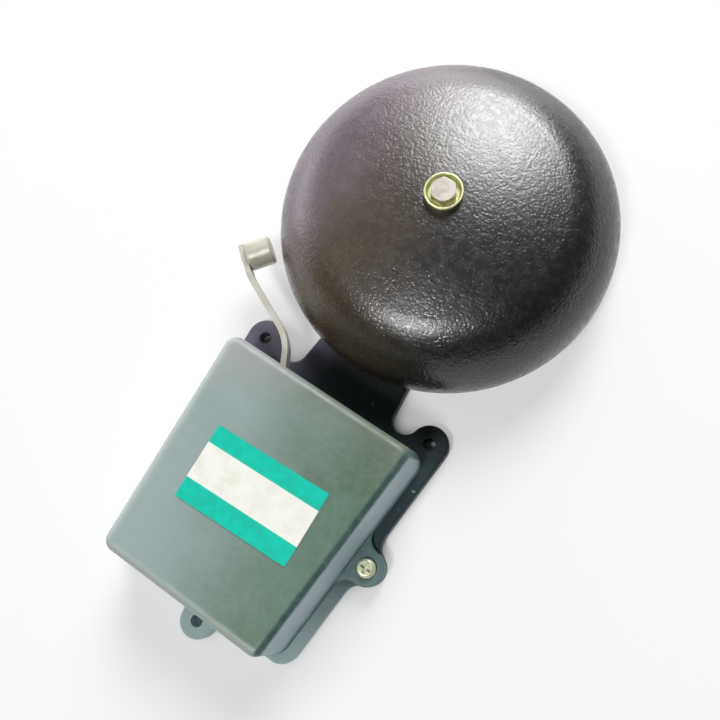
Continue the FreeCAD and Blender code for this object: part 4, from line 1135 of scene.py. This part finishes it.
@dataclass
class Winding:
    """Turns of enamelled wire on one bobbin, over a wrapped inner layer."""

    cad_node: str
    wire: float = 0.9 * MM
    wire_sides: int = 8
    corner: float = 3.6 * MM
    corner_steps: int = 5
    tape_sink: float = 0.6
    tape_rim: float = 3.0 * MM

    def build(self) -> Piece:
        """Model one turn, repeat it along the bobbin and put the wrapping under it.

        Returns:
            The winding, which stands for its solid.
        """
        low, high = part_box(self.cad_node)
        turns = int((high.y - low.y) / self.wire)
        pitch = (high.y - low.y) / turns
        piece = self.turn(low, high, pitch)
        Bench.repeat(piece, turns, (0.0, pitch, 0.0))
        Bench.finish(piece, smooth_deg=60.0)
        piece.data.materials.append(COIL_WIRE.material())
        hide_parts(self.cad_node)
        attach(piece, Body.BASE.value)
        self.wrapping(low, high)
        LOG.info("modelled %s with %d turns", piece.name, turns)
        return piece

    def turn(self, low: Vector, high: Vector, pitch: float) -> Piece:
        """Model one closed turn from a ring of points, by extruding its sides and spinning its corners.

        Args:
            low: Lowest corner of the winding's solid.
            high: Highest corner of the winding's solid.
            pitch: Distance from turn to turn.

        Returns:
            The turn that lies nearest the pole.
        """
        half = pitch / 2
        side = high.x - half
        straight_x = high.x - low.x - 2 * self.corner
        straight_z = high.z - low.z - 2 * self.corner
        Bench.clear()
        bpy.ops.mesh.primitive_circle_add(vertices=self.wire_sides, radius=half * 0.98, fill_type="NOTHING",
                                          location=(side, low.y + half, low.z + self.corner))
        piece = Bench.name(self.cad_node + "_turns")
        bpy.ops.object.transform_apply(location=True, rotation=True, scale=True)
        bpy.ops.object.mode_set(mode="EDIT")
        bpy.ops.mesh.select_all(action="SELECT")
        runs = (
            ((0.0, 0.0, straight_z), (high.x - self.corner, high.z - self.corner)),
            ((-straight_x, 0.0, 0.0), (low.x + self.corner, high.z - self.corner)),
            ((0.0, 0.0, -straight_z), (low.x + self.corner, low.z + self.corner)),
            ((straight_x, 0.0, 0.0), (high.x - self.corner, low.z + self.corner)),
        )
        for run, (centre_x, centre_z) in runs:
            bpy.ops.mesh.extrude_region_move(TRANSFORM_OT_translate={"value": run})
            bpy.ops.mesh.spin(steps=self.corner_steps, angle=-math.pi / 2,
                              center=(centre_x, low.y + half, centre_z), axis=(0.0, 1.0, 0.0))
        bpy.ops.mesh.select_all(action="SELECT")
        bpy.ops.mesh.remove_doubles(threshold=half * 0.05)
        bpy.ops.mesh.normals_make_consistent(inside=False)
        bpy.ops.object.mode_set(mode="OBJECT")
        return piece

    def wrapping(self, low: Vector, high: Vector) -> Piece:
        """Model the layer of tape under the outer turns.

        Args:
            low: Lowest corner of the winding's solid.
            high: Highest corner of the winding's solid.

        Returns:
            The wrapping.
        """
        sunk = Vector((self.wire, 0.0, self.wire)) * (2 * self.tape_sink)
        piece = Bench.block(self.cad_node + "_tape", (low + high) / 2, high - low - sunk)
        bpy.ops.object.mode_set(mode="EDIT")
        Bench.pick(piece, lambda centre, normal: abs(normal.y) > 0.9)
        bpy.ops.mesh.inset(thickness=self.tape_rim)
        bpy.ops.mesh.delete(type="FACE")
        bpy.ops.object.mode_set(mode="OBJECT")
        Bench.bevel(piece, self.corner - self.wire / 2, segments=4, sharp_deg=80.0)
        Bench.finish(piece, smooth_deg=40.0)
        piece.data.materials.append(COIL_TAPE.material())
        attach(piece, Body.BASE.value)
        return piece


@dataclass
class LaminatedCore:
    """U-shaped core as a stack of separate punched sheets."""

    sheets: int = 32
    leg_width: float = 12.0 * MM
    yoke_depth: float = 12.0 * MM
    gap_share: float = 0.08
    burr_share: float = 0.1

    def build(self) -> Piece:
        """Model one sheet and stack its copies.

        Returns:
            The core, which stands for its solid.
        """
        low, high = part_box("magnet_core")
        pitch = (high.z - low.z) / self.sheets
        yoke_y = high.y - self.yoke_depth
        middle = Vector(((low.x + high.x) / 2, (yoke_y + high.y) / 2, low.z + pitch / 2))
        size = Vector((high.x - low.x, high.y - yoke_y, pitch * (1 - self.gap_share)))
        piece = Bench.block("core_sheets", middle, size)
        bpy.ops.object.mode_set(mode="EDIT")
        Bench.cut(middle, [low.x + self.leg_width, high.x - self.leg_width])
        inner = size.x / 2 - self.leg_width
        Bench.pick(piece, lambda centre, normal: normal.y < -0.9 and abs(centre.x - middle.x) > inner)
        bpy.ops.mesh.extrude_region_move(TRANSFORM_OT_translate={"value": (0.0, low.y - yoke_y, 0.0)})
        bpy.ops.mesh.select_all(action="SELECT")
        bpy.ops.mesh.normals_make_consistent(inside=False)
        bpy.ops.object.mode_set(mode="OBJECT")
        Bench.bevel(piece, pitch * self.burr_share)
        Bench.repeat(piece, self.sheets, (0.0, 0.0, pitch))
        Bench.finish(piece, smooth_deg=30.0)
        piece.data.materials.append(CORE_STEEL.material())
        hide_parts("magnet_core")
        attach(piece, Body.BASE.value)
        LOG.info("modelled %s with %d sheets", piece.name, self.sheets)
        return piece


@dataclass
class Magnet:
    """Core, bobbins and windings, and the bracket and fasteners that hold them."""

    core: LaminatedCore = field(default_factory=LaminatedCore)
    windings: tuple[Winding, ...] = (Winding("winding_right"), Winding("winding_left"))

    def build(self) -> None:
        """Model the core and windings, and dress what holds them."""
        self.core.build()
        for winding in self.windings:
            winding.build()
        CarriedSolids({
            BOBBIN_PLASTIC: ("bobbin_right", "bobbin_left"),
            ZINC: ("core_bracket", "core_screws", "core_nuts", "bracket_screws"),
        }).dress()


@dataclass
class InnerFittings:
    """Spring post, stop screw, terminals, earth screw and wires inside the cover."""

    def build(self) -> None:
        """Dress the fittings."""
        CarriedSolids({
            ZINC: ("spring_post", "spring_post_screw", "spring_clamp", "clamp_screws", "stop_bracket",
                   "stop_bracket_screw", "terminal_block_screw", "terminal_screws"),
            BRASS: ("stop_screw", "stop_locknut", "terminal_tubes", "earth_screw", "earth_washer"),
            TERMINAL_PLASTIC: ("terminal_block",),
            WIRE_SLEEVE: ("lead_wire_right", "lead_wire_left", "coil_link_wire"),
        }).dress()


@dataclass(frozen=True)
class Lamp:
    """One soft area lamp, placed by where it stands as seen from the bell."""

    name: str
    towards: tuple[float, float, float]
    size: float
    watts: float
    color: Rgb = (1.0, 1.0, 1.0)
    aim: tuple[float, float, float] = (0.0, -0.03, 0.04)
    distance: float = 2.0

    def build(self) -> Piece:
        """Hang the lamp and turn it to its aim.

        Returns:
            The lamp's object.
        """
        light = bpy.data.lights.new(self.name, "AREA")
        light.shape = "DISK"
        light.size = self.size
        light.energy = self.watts
        light.color = self.color
        lamp = bpy.data.objects.new(self.name, light)
        bpy.context.scene.collection.objects.link(lamp)
        way = Vector(self.towards).normalized()
        lamp.location = Vector(self.aim) + way * self.distance
        lamp.rotation_mode = "QUATERNION"
        lamp.rotation_quaternion = way.to_track_quat("Z", "Y")
        return lamp


@dataclass
class Studio:
    """Table, soft light and the camera at the photograph's angle."""

    sky_strength: float = 0.03
    horizon_strength: float = 0.85
    horizon_low: float = 0.06
    horizon_high: float = 0.30
    floor_size: float = 12.0
    floor_drop: float = 0.2 * MM
    floor_color: Rgb = (0.93, 0.93, 0.93)
    floor_shut_in: float = 12 * MM
    floor_white: float = 0.45
    floor_far_white: float = 0.97
    floor_near: float = 0.30
    floor_far: float = 1.10
    lens_mm: float = 43.893
    sensor_mm: float = 36.0
    nearest: float = 10 * MM
    camera_place: tuple[float, float, float] = (-0.08977, 0.03017, 0.39256)
    camera_right: tuple[float, float, float] = (-0.8195798, -0.5580690, -0.1297997)
    camera_up: tuple[float, float, float] = (0.5246148, -0.8219916, 0.2216055)
    camera_back: tuple[float, float, float] = (-0.2303654, 0.1135286, 0.9664590)
    lamps: tuple[Lamp, ...] = (
        Lamp("window_lamp", (0.20, -0.70, 0.68), 1.10, 34.0),
        Lamp("low_lamp", (0.42, -0.86, 0.26), 1.60, 12.0),
        Lamp("second_lamp", (-0.02, 0.46, 0.885), 0.34, 15.0),
        Lamp("side_lamp", (0.62, 0.06, 0.78), 1.60, 2.0, color=(0.96, 0.94, 1.0)),
        Lamp("fill_lamp", (0.95, 0.10, 0.22), 1.20, 6.0, color=(0.95, 0.90, 1.0)),
    )

    def build(self) -> None:
        """Set up the table, world, lamps and camera."""
        self.table()
        self.world()
        for lamp in self.lamps:
            lamp.build()
        self.camera()
        bpy.context.scene.view_settings.view_transform = "Standard"

    def table(self) -> None:
        """Lay the pale table that the bell's back rests on, darker only where it is closely shut in."""
        Bench.clear()
        bpy.ops.mesh.primitive_plane_add(size=self.floor_size, location=(0.0, 0.0, -self.floor_drop))
        table = Bench.name("table_top")
        material = bpy.data.materials.new("pale_table")
        material.use_nodes = True
        material.node_tree.nodes.clear()
        shader = Shader(material.node_tree)
        lit = shader.add("ShaderNodeBsdfPrincipled", {"Base Color": self.floor_color, "Roughness": 0.9,
                                                      "Specular IOR Level": 0.1})
        plain = shader.add("ShaderNodeEmission", {"Color": (1.0, 1.0, 1.0), "Strength": 1.0})
        path = shader.add("ShaderNodeLightPath").outputs
        seen = shader.math("MAXIMUM", path["Is Camera Ray"],
                           shader.math("MAXIMUM", path["Is Glossy Ray"], path["Is Transmission Ray"]))
        openness = shader.add("ShaderNodeAmbientOcclusion", {"Distance": self.floor_shut_in}, samples=8).outputs["AO"]
        away = shader.vector("LENGTH", shader.place()).outputs["Value"]
        white = shader.ramp(away, self.floor_near, self.floor_far, self.floor_white, self.floor_far_white)
        share = shader.times(shader.times(seen, white), shader.ramp(openness, 0.25, 0.75))
        mixed = shader.add("ShaderNodeMixShader", {0: share, 1: lit.outputs[0], 2: plain.outputs[0]})
        shader.feed(shader.add("ShaderNodeOutputMaterial").inputs["Surface"], mixed.outputs[0])
        table.data.materials.append(material)

    def world(self) -> None:
        """Surround the bell with weak even light and a pale horizon."""
        world = bpy.data.worlds.new("studio")
        bpy.context.scene.world = world
        world.use_nodes = True
        world.node_tree.nodes.clear()
        shader = Shader(world.node_tree)
        direction = shader.add("ShaderNodeSeparateXYZ", {0: shader.add("ShaderNodeTexCoord").outputs["Generated"]})
        strength = shader.ramp(direction.outputs[2], self.horizon_low, self.horizon_high,
                               self.horizon_strength, self.sky_strength)
        even = shader.add("ShaderNodeBackground", {"Color": (1.0, 1.0, 1.0), "Strength": strength})
        shader.feed(shader.add("ShaderNodeOutputWorld").inputs["Surface"], even.outputs[0])

    def camera(self) -> None:
        """Put the camera where the photograph was taken from."""
        data = bpy.data.cameras.new("photo_camera")
        data.sensor_width = self.sensor_mm
        data.lens = self.lens_mm
        data.clip_start = self.nearest
        camera = bpy.data.objects.new("photo_camera", data)
        bpy.context.scene.collection.objects.link(camera)
        turn = Matrix((self.camera_right, self.camera_up, self.camera_back)).transposed().to_4x4()
        camera.matrix_world = Matrix.Translation(self.camera_place) @ turn
        bpy.context.scene.camera = camera


def main() -> None:
    """Build the studio and dress the bell, sub-assembly by sub-assembly."""
    logging.basicConfig(level=logging.INFO, format="%(message)s")
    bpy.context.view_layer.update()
    for part in (Studio(), Housing(), GongSet(), Striker(), Magnet(), InnerFittings()):
        part.build()
        LOG.info("finished %s", type(part).__name__)
    bpy.context.view_layer.update()


if __name__ == "__main__":
    main()
